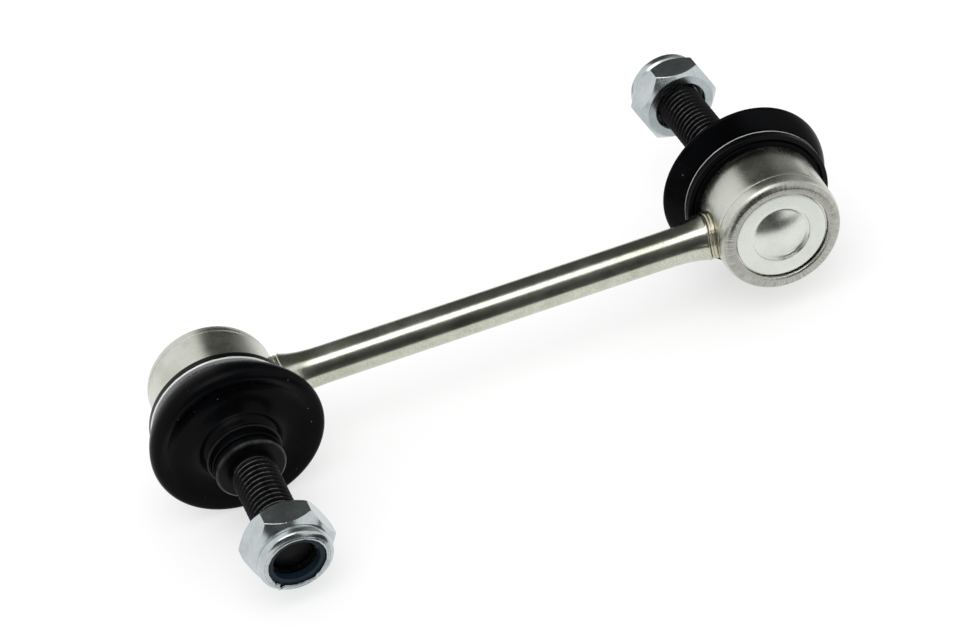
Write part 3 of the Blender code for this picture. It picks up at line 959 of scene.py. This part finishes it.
@dataclass
class Housing:
    """The barrel with its rolled lip and mouth, the pressed cover behind and the seat inside."""

    axes: JointAxes
    seeds: tuple[int, int, int]
    radius: float = BARREL_RADIUS
    bore: float = 9.6 * MM
    front: float = 7.8 * MM
    groove_start: float = 5.9 * MM
    groove_radius: float = 12.2 * MM
    lip_crest: float = -8.9 * MM
    lip_radius: float = 10.3 * MM
    lip_under: float = -8.1 * MM
    round_start: float = -5.8 * MM
    pocket: float = 11.3 * MM
    shoulder: float = -6.5 * MM
    seat_stop: float = 3.9 * MM
    mouth_back: float = 6.19 * MM
    mouth_front: float = 8.01 * MM
    cover_face: float = -8.3 * MM
    cover_inner: float = -6.8 * MM
    cover_radius: float = 11.0 * MM
    cover_step: float = 0.5 * MM
    recess: float = 6.45 * MM
    recess_depth: float = 0.5 * MM
    dome_height: float = 1.2 * MM
    cover_shift: Point = (0.15 * MM, 0.24 * MM)
    nick_waves: Waves = (8, 46)
    nick_floor: float = 0.9
    nick_depth: float = 0.12 * MM
    coarse_waves: Waves = (3, 12)
    coarse_height: float = 0.018 * MM
    fine_waves: Waves = (60, 110)
    fine_height: float = 0.006 * MM
    barrel_facets: int = 192
    cover_facets: int = 128

    def barrel_outline(self) -> Array:
        """The barrel's outline, with the fine groove where the rolling began.

        Returns:
            The outline's points.
        """
        crest = self.lip_radius + 0.4 * (self.radius - self.lip_radius)
        rolled = bezier(
            [
                (self.radius, self.round_start),
                (self.radius, self.lip_crest + 0.45 * (self.round_start - self.lip_crest)),
                (self.radius - 0.3 * (self.radius - crest), self.lip_crest),
                (crest, self.lip_crest),
            ],
            24,
        )
        rolled[0] = (self.radius - 0.03 * MM, self.round_start)
        corners = [
            (self.radius, self.groove_start, 0.15 * MM),
            (self.radius, self.round_start + 0.16 * MM, 0.0),
            (self.radius - 0.07 * MM, self.round_start + 0.06 * MM, 0.0),
            *((r, s, 0.0) for r, s in rolled),
            (self.lip_radius + 0.35 * MM, self.lip_crest + 0.04 * MM, 0.15 * MM),
            (self.lip_radius, self.lip_crest + 0.35 * MM, 0.12 * MM),
            (self.lip_radius, self.lip_under, 0.05 * MM),
            (self.pocket, self.lip_under, 0.0),
            (self.pocket, self.shoulder, 0.0),
            (self.bore, self.shoulder, 0.1 * MM),
            (self.bore, self.seat_stop, 0.0),
            (self.mouth_back, self.seat_stop, 0.1 * MM),
            (self.mouth_front, self.front, 0.2 * MM),
            (self.groove_radius, self.front, 0.2 * MM),
            (self.groove_radius, self.groove_start, 0.1 * MM),
        ]
        return refine(fillet(corners, True, 4), 0.8 * MM, True)

    def cover_outline(self) -> Array:
        """The cover's outline: a flat ring, a pressed step and a low dome inside it.

        Returns:
            The outline's points.
        """
        floor = self.cover_face + self.recess_depth
        step = self.cover_face + self.cover_step
        edge = self.lip_radius - 0.3 * MM
        foot = self.recess - self.recess_depth
        ball = (foot**2 + self.dome_height**2) / (2 * self.dome_height)
        spread = math.degrees(math.asin(foot / ball))
        dome = arc((0.0, floor - self.dome_height + ball), ball, -90.0, spread - 90.0, 16)
        corners = [
            (0.0, dome[0][1], 0.0),
            *((r, s, 0.0) for r, s in dome[1:]),
            (self.recess - 0.05 * MM, floor, 0.15 * MM),
            (self.recess, self.cover_face, 0.16 * MM),
            (edge, self.cover_face, 0.25 * MM),
            (edge, step, 0.0),
            (self.cover_radius, step, 0.0),
            (self.cover_radius, self.cover_inner, 0.0),
            (0.0, self.cover_inner, 0.0),
        ]
        return refine(fillet(corners, False, 4), 0.7 * MM, False)

    def build(self, finishes: Finishes) -> None:
        """Build the barrel and the cover, and dress the seat.

        Args:
            finishes: The link's finishes.
        """
        named, housing = self.axes.named, self.axes.housing

        def hand_rolled(radius: Array, station: Array, turn: Array) -> tuple[Array, Array]:
            """Let the rolled lip waver a little, as rolling tools leave it, and nick its inner edge.

            Args:
                radius: Radius of each point.
                station: Station of each point.
                turn: Angle of each point.

            Returns:
                The new radius and station.
            """
            lip = np.clip((self.round_start - station) / (self.round_start - self.lip_crest), 0.0, 1.0)
            inner = (station < self.lip_under) & (radius < self.lip_radius + 0.4 * MM)
            nicks = wave_noise(turn, self.seeds[0], self.nick_waves)
            nicks = np.minimum(nicks, -self.nick_floor) + self.nick_floor
            ripple = wave_noise(turn, self.seeds[1], self.coarse_waves) * self.coarse_height
            ripple = ripple + wave_noise(turn, self.seeds[2], self.fine_waves) * self.fine_height
            return radius - inner * nicks * self.nick_depth, station + lip**2 * ripple

        outline = self.barrel_outline()
        barrel = turned_surface(named("barrel"), outline, housing, self.barrel_facets, hand_rolled)
        settle(barrel, "link", named("housing"), finishes.barrel.material())
        shifted = housing @ Matrix.Translation((*self.cover_shift, 0.0))
        cover = turned_surface(named("cover"), self.cover_outline(), shifted, self.cover_facets)
        settle(cover, "link", named("cover_plate"), finishes.cover.material())
        for place in frame["nodes"][named("ball_seat")].material_slots:
            place.material = finishes.seat.material()


@dataclass
class BallStud:
    """Ball, waisted neck, boot seat, bevelled collar and the rolled thread."""

    axes: JointAxes
    ball: float = 6.5 * MM
    neck: float = 3.6 * MM
    neck_length: float = 4.0 * MM
    boot_seat: float = 6.3 * MM
    boot_seat_start: float = 14.5 * MM
    collar: float = 7.55 * MM
    collar_back: float = 19.7 * MM
    collar_face: float = 22.1 * MM
    thread_radius: float = 4.9 * MM
    thread_start: float = 0.6 * MM
    thread_length: float = 24.3 * MM
    thread_depth: float = 0.60 * MM
    pitch: float = 1.25 * MM
    pitch_steps: float = 20.0
    flat_crest: float = 0.10
    flank: float = 0.75
    rounded: float = 0.45
    run_in: float = 1.2
    run_out: float = 0.8
    tip_chamfer: float = 1.0 * MM
    # The grey-metal line along the thread is a painted highlight; on the collar's bevel the grey metal is
    # scuffing and a painted reflection.
    highlight_wear_line: float = 0.86
    thread_highlight_wear: float = 0.75
    bevel_wear_and_reflection: float = 0.22
    facets: int = 128

    @property
    def first(self) -> float:
        """Station of the thread's start."""
        return self.collar_face + self.thread_start

    @property
    def tip(self) -> float:
        """Station of the shank's end."""
        return self.collar_face + self.thread_length

    def outline(self) -> Array:
        """The stud's outline, with the thread still a plain cylinder.

        Returns:
            The outline's points.
        """
        neck_start = math.sqrt(self.ball**2 - self.neck**2)
        neck_top = neck_start + self.neck_length
        root = self.thread_radius - self.thread_depth
        ball = arc((0.0, 0.0), self.ball, -90.0, math.degrees(math.asin(neck_start / self.ball)), 28)
        ball[0] = (0.0, -self.ball)
        waist = bezier(
            [
                (self.neck, neck_top),
                (self.neck, 0.6 * neck_top + 0.4 * self.boot_seat_start),
                (self.boot_seat, 0.4 * neck_top + 0.6 * self.boot_seat_start),
                (self.boot_seat, self.boot_seat_start),
            ],
            16,
        )
        corners = [
            *((r, s, 0.0) for r, s in ball + waist),
            (self.boot_seat, self.collar_back, 0.0),
            (self.collar - 0.3 * MM, self.collar_back, 0.1 * MM),
            (self.collar, self.collar_back + 0.4 * MM, 0.15 * MM),
            (self.collar, self.collar_face - 0.5 * MM, 0.12 * MM),
            (self.collar - 0.55 * MM, self.collar_face, 0.12 * MM),
            (self.thread_radius + 0.3 * MM, self.collar_face, 0.0),
            (root, self.collar_face - 0.3 * MM, 0.1 * MM),
            (root, self.collar_face + 0.5 * MM, 0.0),
        ]
        head = refine(fillet(corners, False, 4), 0.6 * MM, False)
        rim = (self.thread_radius - self.tip_chamfer, self.tip)
        run = [(self.thread_radius, self.first), (self.thread_radius, self.tip - self.tip_chamfer), rim]
        shank = refine(np.array(run), self.pitch / self.pitch_steps, False)
        flat_end = refine(np.array([rim, (0.0, self.tip)]), 0.8 * MM, False)[1:]
        return np.vstack([head, shank, flat_end])

    def fold(self, station: Array, turn: Array) -> Array:
        """How far a point is from the thread's crest, from 0 at the crest to 1 at the root.

        The thread's phase is the station over the pitch less the angle over a full turn.

        Args:
            station: Station of each point.
            turn: Angle of each point.

        Returns:
            The shares.
        """
        phase = station / self.pitch - turn / TAU
        away = np.abs(2.0 * (phase - np.floor(phase)) - 1.0)
        return np.clip((away - self.flat_crest) / self.flank, 0.0, 1.0)

    def rubbed_and_highlit(self, radius: Array, station: Array, turn: Array) -> Array:
        """Grey metal in a line along the thread's root, painted there as the thread's bright highlight lines,
        and on the collar's bevel, as scuffing that is also a painted grey reflection.

        Args:
            radius: Radius of each point.
            station: Station of each point.
            turn: Angle of each point.

        Returns:
            The share of grey metal at each point, partly scuffing and partly painted highlight.
        """
        on_shank = (station > self.first) & (radius > self.thread_radius - 0.5 * self.tip_chamfer)
        line = on_shank & (self.fold(station, turn) > self.highlight_wear_line)
        bevel = (radius > self.collar - 0.3 * MM) & (station > self.collar_face - 0.75 * MM)
        return np.where(station > self.first, self.thread_highlight_wear * line, self.bevel_wear_and_reflection * bevel)

    def cut(self, radius: Array, station: Array, turn: Array) -> tuple[Array, Array]:
        """Cut the rolled thread into the shank.

        The groove's depth is a rounded triangle, faded in past the collar and out at the chamfer.

        Args:
            radius: Radius of each point.
            station: Station of each point.
            turn: Angle of each point.

        Returns:
            The new radius and the station.
        """
        groove = self.fold(station, turn)
        groove = groove * groove * (3.0 - 2.0 * groove) * self.rounded + groove * (1.0 - self.rounded)
        risen = np.clip((station - self.first) / (self.run_in * self.pitch), 0.0, 1.0)
        fade_out = np.clip((self.tip - station) / (self.run_out * self.pitch), 0.0, 1.0)
        on_shank = (station > self.first - TINY) & (radius > self.thread_radius - 1.5 * self.tip_chamfer)
        depth = self.thread_depth * (1.0 - risen * (1.0 - groove)) * fade_out * on_shank
        return radius - depth, station

    def build(self, material: bpy.types.Material) -> None:
        """Build the stud with its thread.

        Args:
            material: The stud's finish.
        """
        named = self.axes.named
        outline = self.outline()
        stud = turned_surface(
            named("stud_forging"), outline, self.axes.stud, self.facets, self.cut, wear_and_highlight=self.rubbed_and_highlit
        )
        settle(stud, named("stud"), named("ball_stud"), material)


@dataclass
class Boot:
    """The flared rubber boot with the clip round its foot and the wire ring round its neck."""

    axes: JointAxes
    sag: float
    foot_inner: float = 12.5 * MM
    foot_wall: float = 2.1 * MM
    foot_start: float = 6.2 * MM
    foot_top: float = 8.4 * MM
    wall: float = 1.2 * MM
    rim_radius: float = 18.55 * MM
    rim_station: float = 13.0 * MM
    rim_bend: float = 0.9 * MM
    dish_depth: float = 1.9 * MM
    neck_inner: float = 6.6 * MM
    neck_wall: float = 1.1 * MM
    end: float = 19.4 * MM
    neck_groove: float = 0.4 * MM
    facets: int = 144
    clip_gap: float = 0.3 * MM
    clip_wall: float = 1.05 * MM
    clip_length: float = 2.1 * MM
    clip_drop: float = 0.15 * MM
    clip_facets: int = 160
    edge_back: float = 0.28 * MM
    edge_reach: float = 0.72 * MM
    wire_radius: float = 0.343 * MM
    wire_offset: float = 0.5 * MM
    wire_back: float = 2.16 * MM
    wire_facets: int = 128

    @property
    def waist(self) -> float:
        """Station of the neck's start, from which the boot takes the stud's whole lean."""
        return self.end - 2 * self.wall

    def outline(self) -> Array:
        """The boot's wall as a ribbon: foot, flare, rounded rim, dished front, bulged neck and two lips.

        Returns:
            The outline's points.
        """
        wall, waist = self.wall, self.waist
        middle = self.foot_inner + self.foot_wall / 2
        rim = self.rim_radius - self.rim_bend - wall / 2
        neck = self.neck_inner + self.neck_wall / 2
        dish = self.rim_station - self.dish_depth + self.rim_bend
        foot = [
            (middle, self.foot_start),
            (middle, 0.5 * (self.foot_start + self.foot_top)),
            (middle, self.foot_top),
        ]
        flare = bezier(
            [
                (middle + 0.3 * wall, self.foot_top + wall),
                (rim - 0.4 * wall, self.foot_top + 1.2 * wall),
                (rim + self.rim_bend, self.foot_top + 3.5 * wall),
                (rim + self.rim_bend, self.rim_station),
            ],
            20,
        )
        bend = arc((rim, self.rim_station), self.rim_bend, 12.0, 90.0, 8)
        front = bezier(
            [
                (rim - wall, self.rim_station + 0.6 * self.rim_bend),
                (rim - 3 * wall, dish),
                (neck + 2.3 * wall, dish - 0.2 * wall),
                (neck + 0.75 * wall, dish + 1.9 * wall),
            ],
            20,
        )
        bulge = bezier(
            [
                (neck + 0.6 * wall, dish + 2.3 * wall),
                (neck + 0.75 * wall, waist - 1.5 * wall),
                (neck + 0.1 * wall, waist - 0.9 * wall),
                (neck, waist - 0.5 * wall),
            ],
            12,
        )
        soft = flare + bend + front + bulge
        groove, lip = self.neck_groove / 2, self.neck_wall / 2
        lips = [(neck - groove, waist + 0.2 * wall), (neck, waist + wall), (neck, self.end - 0.1 * MM)]
        halves = [self.foot_wall / 2] * len(foot) + [wall / 2] * len(soft) + [lip - groove, lip, 0.8 * lip]
        return refine(ribbon(foot + soft + lips, halves), 0.5 * MM, True)

    def lean(self, points: Array) -> Array:
        """Turn points about the ball's centre by a smooth share of the stud's lean, and let the rim sag.

        The share grows from nought at the foot to one at the neck. The sag pushes points along x by four
        times the share times its rest to one, so foot and neck stay put.

        Args:
            points: Points in the housing's frame.

        Returns:
            The moved points.
        """
        share = np.clip((points[:, 2] - self.foot_top) / (self.waist - self.foot_top), 0.0, 1.0)
        share = (share * share * (3 - 2 * share))[:, None]
        angle = self.axes.lean_angle * share
        axis = np.array(self.axes.lean_axis)
        turned = points * np.cos(angle) + np.cross(axis, points) * np.sin(angle)
        turned += axis * (points @ axis)[:, None] * (1 - np.cos(angle))
        return turned + np.array([self.sag, 0.0, 0.0]) * 4 * share * (1 - share)

    def build(self, finishes: Finishes) -> None:
        """Build the boot, shaped bent from the housing's side to the stud's neck, and both rings.

        Args:
            finishes: The link's finishes.
        """
        axes, named = self.axes, self.axes.named
        boot = turned_surface(named("boot_rubber"), self.outline(), axes.housing, self.facets, bend=self.lean)
        bottom, top = axes.point(self.foot_top), axes.point(self.waist)
        named("boot")
        named("boot_neck")
        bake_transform(boot)
        dress(boot, named("dust_boot"), finishes.boot.material())
        inner = self.foot_inner + self.foot_wall + self.clip_gap
        outer = inner + self.clip_wall
        front = self.foot_top - self.clip_drop
        corners = [
            (inner, front - self.clip_length, 0.1 * MM),
            (outer, front - self.clip_length, 0.25 * MM),
            (outer, front, 0.25 * MM),
            (inner, front, 0.1 * MM),
        ]
        strip = refine(fillet(corners, True), 0.4 * MM, True)
        clip = turned_surface(named("clip"), strip, axes.housing, self.clip_facets)
        edge = 1.5 * self.clip_wall + self.clip_length - self.edge_back
        # The clip's cut edge is painted pale, partly uncoated metal and partly its highlight.
        bare_and_highlit = EdgedSteel("clip_steel", edge, self.edge_reach)
        settle(clip, "link", named("boot_clip"), bare_and_highlit.material())
        groove = self.neck_inner + self.neck_wall - self.neck_groove
        middle = (groove + self.wire_offset, self.end - self.wire_back)
        circle = np.array(arc(middle, self.wire_radius, 0.0, 360.0, 14)[:-1])
        ring = turned_surface(named("neck_wire"), circle, axes.stud, self.wire_facets)
        settle(ring, named("boot_neck"), named("boot_neck_ring"), finishes.wire.material())


@dataclass
class LockNut:
    """The hexagon nut with its crimped collar and nylon insert, measured from its bearing face."""

    axes: JointAxes
    station: float
    turn_deg: float
    seed: int
    across_flats: float = 17.0 * MM
    face_share: float = 0.93
    hex_height: float = 7.1 * MM
    height: float = 10.0 * MM
    collar: float = 8.0 * MM
    bore: float = 5.2 * MM
    crimp: float = 6.1 * MM
    crimp_wall: float = 0.4 * MM
    chamfer_deg: float = 48.0
    groove: float = 0.5 * MM
    edge_depth: float = 0.6 * MM
    edge_width: float = 0.7 * MM
    torn_deg: Point = (229.0, 300.0)
    torn_width: float = 0.20
    torn_reach: float = 0.38 * MM
    ragged_reach: float = 0.05 * MM
    ragged_waves: Waves = (5, 26)
    ragged_floor: float = 0.4
    sharp_deg: float = 28.0
    facets: int = 288
    insert_bore: float = 5.0 * MM
    insert_gap: float = 0.3 * MM
    insert_facets: int = 96

    def nut_outline(self) -> Array:
        """The nut's outline on its corners: chamfers, groove, bulged collar, crimp, pocket and bore.

        Returns:
            The outline's points.
        """
        flat = self.across_flats / 2
        corner = flat / math.cos(math.pi / 6)
        face = self.face_share * flat
        rise = (corner - face) * math.tan(math.radians(self.chamfer_deg))
        pocket = (self.crimp + self.collar) / 2
        under = self.height - self.crimp_wall
        corners = [
            (self.bore + 0.1 * flat, 0.0, 0.05 * MM),
            (face, 0.0, 0.2 * MM),
            (corner, rise, 0.25 * MM),
            (corner, self.hex_height - rise, 0.25 * MM),
            (face, self.hex_height, 0.2 * MM),
            (self.collar - self.groove, self.hex_height + 0.15 * MM, 0.3 * MM),
            (self.collar, self.hex_height + 0.9 * MM, 0.5 * MM),
            (self.collar - 0.1 * MM, self.height - 0.7 * MM, 0.6 * MM),
            (self.collar - 1.0 * MM, self.height - 0.15 * MM, 0.25 * MM),
            (self.collar - 1.1 * MM, self.height - 0.25 * MM, 0.05 * MM),
            (self.crimp + 0.5 * MM, self.height, 0.25 * MM),
            (self.crimp, under + 0.2 * MM, 0.1 * MM),
            (self.crimp, under, 0.05 * MM),
            (pocket, under, 0.0),
            (pocket, self.hex_height, 0.0),
            (self.bore, self.hex_height, 0.0),
            (self.bore, 0.1 * flat, 0.1 * MM),
        ]
        line = refine(fillet(corners, True, 6), 0.3 * MM, True)
        on_cone = np.flatnonzero(line[:, 0] > face + 0.05 * MM)
        cone = refine(line[on_cone[0] : on_cone[-1] + 1], 0.12 * MM, False)
        return np.vstack([line[: on_cone[0]], cone, line[on_cone[-1] + 1 :]])

    def hexagon(self, radius: Array, station: Array, turn: Array) -> tuple[Array, Array]:
        """Cap the radius at the flats and tear the crimped edge a little in two places.

        The cap is half the width across flats over the cosine of the angle from the nearest flat's middle, so
        the round chamfers meet the flats in curved edges.

        Args:
            radius: Radius of each point.
            station: Station of each point.
            turn: Angle of each point.

        Returns:
            The new radius and the station.
        """
        from_middle = np.mod(turn, math.pi / 3) - math.pi / 6
        capped = np.minimum(radius, self.across_flats / 2 / np.cos(from_middle))
        edge = (radius > self.crimp - TINY) & (radius < self.crimp + self.edge_width)
        edge = edge & (station > self.height - self.edge_depth)
        torn = sum(np.exp(-(((turn - math.radians(a)) / self.torn_width) ** 2)) for a in self.torn_deg)
        ragged = wave_noise(turn, self.seed, self.ragged_waves)
        ragged = np.maximum(ragged, -self.ragged_floor) + self.ragged_floor
        return capped + edge * ragged * (self.ragged_reach + self.torn_reach * torn), station

    def build(self, finishes: Finishes) -> None:
        """Build the nut and its insert.

        Args:
            finishes: The link's finishes.
        """
        named = self.axes.named
        place = self.axes.stud @ Matrix.Translation((0.0, 0.0, self.station))
        place = place @ Matrix.Rotation(math.radians(self.turn_deg), 4, "Z")
        outline = self.nut_outline()
        nut = turned_surface(
            named("hexagon_nut"), outline, place, self.facets, self.hexagon, sharp_deg=self.sharp_deg
        )
        settle(nut, named("nut"), named("lock_nut"), finishes.nut.material())
        outer = (self.crimp + self.collar) / 2 - self.insert_gap
        low, high = self.hex_height + self.insert_gap, self.height - self.crimp_wall - self.insert_gap
        corners = [
            (self.insert_bore, low, 0.2 * MM),
            (outer, low, 0.2 * MM),
            (outer, high, 0.2 * MM),
            (self.insert_bore, high, 0.15 * MM),
        ]
        section = refine(fillet(corners, True), 0.3 * MM, True)
        ring = turned_surface(named("nylon_ring"), section, place, self.insert_facets)
        settle(ring, named("insert"), named("nut_insert"), finishes.insert.material())


# The studio


@dataclass
class Card:
    """A card that only reflections see, a bent strip that is dark in its middle and fades to both sides.

    Its line is given as y and z, and its ends, its dark middle and the fades beside that as places and
    lengths along x. Its levels are the brightness on the left, in the middle and on the right.
    """

    name: str
    line: Sequence[Point]
    ends: Point
    middle: Point
    fades: Point
    levels: Triple
    tint: tuple[float, ...] = (0.98, 1.0, 0.96, 1.0)

    def build(self) -> None:
        """Build the card: its brightness is the greater of two slopes, each fading out of the middle."""
        nodes = Nodes(f"{self.name}_shade")
        along = nodes.part(nodes.add("ShaderNodeTexCoord").outputs["Object"], "X")
        (start, end), (far_left, dark, far_right) = self.middle, self.levels
        left = nodes.spread(along, far_left, dark, start - self.fades[0], start)
        right = nodes.spread(along, dark, far_right, end, end + self.fades[1])
        bright = nodes.math("MAXIMUM", left, right)
        nodes.show(nodes.add("ShaderNodeEmission", {"Color": self.tint, "Strength": bright}))
        strip = np.array([(0.0, y, z) for y, z in self.line])
        points = np.vstack([strip + [x, 0.0, 0.0] for x in self.ends])
        count = len(strip)
        i = np.arange(count - 1)
        faces = np.stack([i, i + 1, i + count + 1, i + count], axis=1)
        card = write_mesh(self.name, points, faces, 180.0)
        card.data.materials.append(nodes.material)
        card.visible_camera = False
        card.visible_diffuse = False
        card.visible_shadow = False
        card.visible_transmission = False


@dataclass
class Studio:
    """White ground, one soft lamp, dark cards for the steel to mirror, and the camera."""

    ground: float = -19.75 * MM
    ground_half: float = 3.0
    ground_colour: tuple[float, ...] = (0.93, 0.93, 0.93, 1.0)
    ground_rough: float = 0.9
    ground_glow: float = 0.55
    camera_place: Triple = (-0.096954, -0.578888, 0.436722)
    camera_back: Triple = (-0.126986, -0.790589, 0.599035)
    camera_up: Triple = (0.315562, 0.540347, 0.780029)
    sensor: float = 36.0
    lens: float = 130.694
    sight: Point = (0.01, 20.0)
    card_lift: float = 1.0 * MM
    above_radius: float = 0.38
    front_radius: float = 0.64
    near_edge: float = -0.056
    back_edges: Point = (0.075, 0.34)
    lamp_place: Triple = (-0.15, -0.55, 1.1)
    lamp_side: float = 0.9
    lamp_power: float = 5.0

    def camera(self) -> None:
        """Place the camera where the photograph's was."""
        data = bpy.data.cameras.new("camera")
        data.sensor_width = self.sensor
        data.lens = self.lens
        data.clip_start, data.clip_end = self.sight
        camera = bpy.data.objects.new("camera", data)
        back = np.array(self.camera_back) / np.linalg.norm(self.camera_back)
        right = np.cross(self.camera_up, back)
        right /= np.linalg.norm(right)
        basis = np.stack([right, np.cross(back, right), back], axis=1)
        camera.matrix_world = standing(basis, self.camera_place)
        bpy.context.scene.collection.objects.link(camera)
        bpy.context.scene.camera = camera

    def world(self) -> None:
        """White all round, behind the object, in its reflections and as a plain light on its surfaces."""
        world = bpy.data.worlds.new("studio")
        bpy.context.scene.world = world
        world.use_nodes = True
        back = world.node_tree.nodes["Background"]
        back.inputs["Color"].default_value = WHITE
        back.inputs["Strength"].default_value = 1.0

    def floor(self) -> None:
        """A pale floor that shows as white to camera, mirrors and glass, and keeps the object's shadow."""
        nodes = Nodes("floor_white")
        nodes.fix(base=self.ground_colour, roughness=self.ground_rough, shine=0.0)
        rays = nodes.add("ShaderNodeLightPath").outputs
        shown = nodes.math("MAXIMUM", rays["Is Camera Ray"], rays["Is Glossy Ray"])
        shown = nodes.math("MAXIMUM", shown, rays["Is Transmission Ray"])
        glow = nodes.add("ShaderNodeEmission", {"Color": WHITE, "Strength": 1.0})
        share = nodes.math("MULTIPLY", shown, self.ground_glow)
        shaders = {0: share, 1: nodes.shader.outputs[0], 2: glow.outputs[0]}
        nodes.show(nodes.add("ShaderNodeMixShader", shaders))
        half, low = self.ground_half, self.ground
        points = np.array([(-half, -half, low), (half, -half, low), (half, half, low), (-half, half, low)])
        floor = write_mesh("floor", points, np.array([[0, 1, 2, 3]]), 30.0)
        floor.data.materials.append(nodes.material)

    def cards(self) -> list[Card]:
        """The cards: one bent over the object, one standing in front of it, and three on the ground.

        Returns:
            The cards.
        """
        low = self.ground + self.card_lift
        above = arc((0.0, 0.0), self.above_radius, 0.0, 91.0, 12)
        front = arc((0.0, 0.0), self.front_radius, 124.0, 178.0, 8) + [(-self.front_radius, low)]
        near = [(-self.front_radius, low), (self.near_edge, low)]
        back = [(y, low) for y in self.back_edges]
        return [
            Card(
                "card_above",
                above,
                ends=(-0.08, 0.9),
                middle=(-0.015, 0.17),
                fades=(0.055, 0.22),
                levels=(1.0, 0.08, 0.35),
            ),
            Card(
                "card_front",
                front,
                ends=(-0.52, 0.31),
                middle=(-0.47, 0.25),
                fades=(0.05, 0.06),
                levels=(1.0, 0.04, 1.0),
            ),
            Card(
                "card_near",
                near,
                ends=(-0.07, 0.15),
                middle=(-0.03, 0.11),
                fades=(0.04, 0.04),
                levels=(1.0, 0.04, 1.0),
            ),
            Card(
                "card_left",
                back,
                ends=(-0.08, 0.005),
                middle=(-0.055, -0.02),
                fades=(0.015, 0.02),
                levels=(1.0, 0.2, 1.0),
            ),
            Card(
                "card_right",
                back,
                ends=(0.045, 0.22),
                middle=(0.065, 0.15),
                fades=(0.015, 0.06),
                levels=(1.0, 0.3, 1.0),
            ),
        ]

    def lamp(self) -> None:
        """A square soft lamp that faces the object."""
        data = bpy.data.lights.new("key_lamp", "AREA")
        data.size = self.lamp_side
        data.energy = self.lamp_power
        lamp = bpy.data.objects.new("key_lamp", data)
        back = np.array(self.lamp_place) / np.linalg.norm(self.lamp_place)
        side = np.cross([0.0, 1.0, 0.0], back)
        side /= np.linalg.norm(side)
        basis = np.stack([side, np.cross(back, side), back], axis=1)
        lamp.matrix_world = standing(basis, self.lamp_place)
        bpy.context.scene.collection.objects.link(lamp)

    def build(self) -> None:
        """Build the studio."""
        bpy.context.scene.view_settings.view_transform = "Standard"
        self.camera()
        self.world()
        self.floor()
        for card in self.cards():
            card.build()
        self.lamp()


def main() -> None:
    """Build the link and its studio, and report each piece."""
    logging.basicConfig(level=logging.INFO, format="%(name)s: %(message)s")
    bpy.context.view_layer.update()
    finishes = Finishes()
    Rod().build(finishes)
    for side, fit in FITS.items():
        axes = JointAxes(side)
        WeldBead(axes, fit.weld_seeds).build(finishes.weld.material())
        Housing(axes, fit.lip_seeds).build(finishes)
        BallStud(axes).build(finishes.stud.material())
        Boot(axes, fit.boot_sag).build(finishes)
        LockNut(axes, fit.nut_station, fit.nut_turn_deg, fit.crimp_seed).build(finishes)
    Studio().build()


if __name__ == "__main__":
    main()
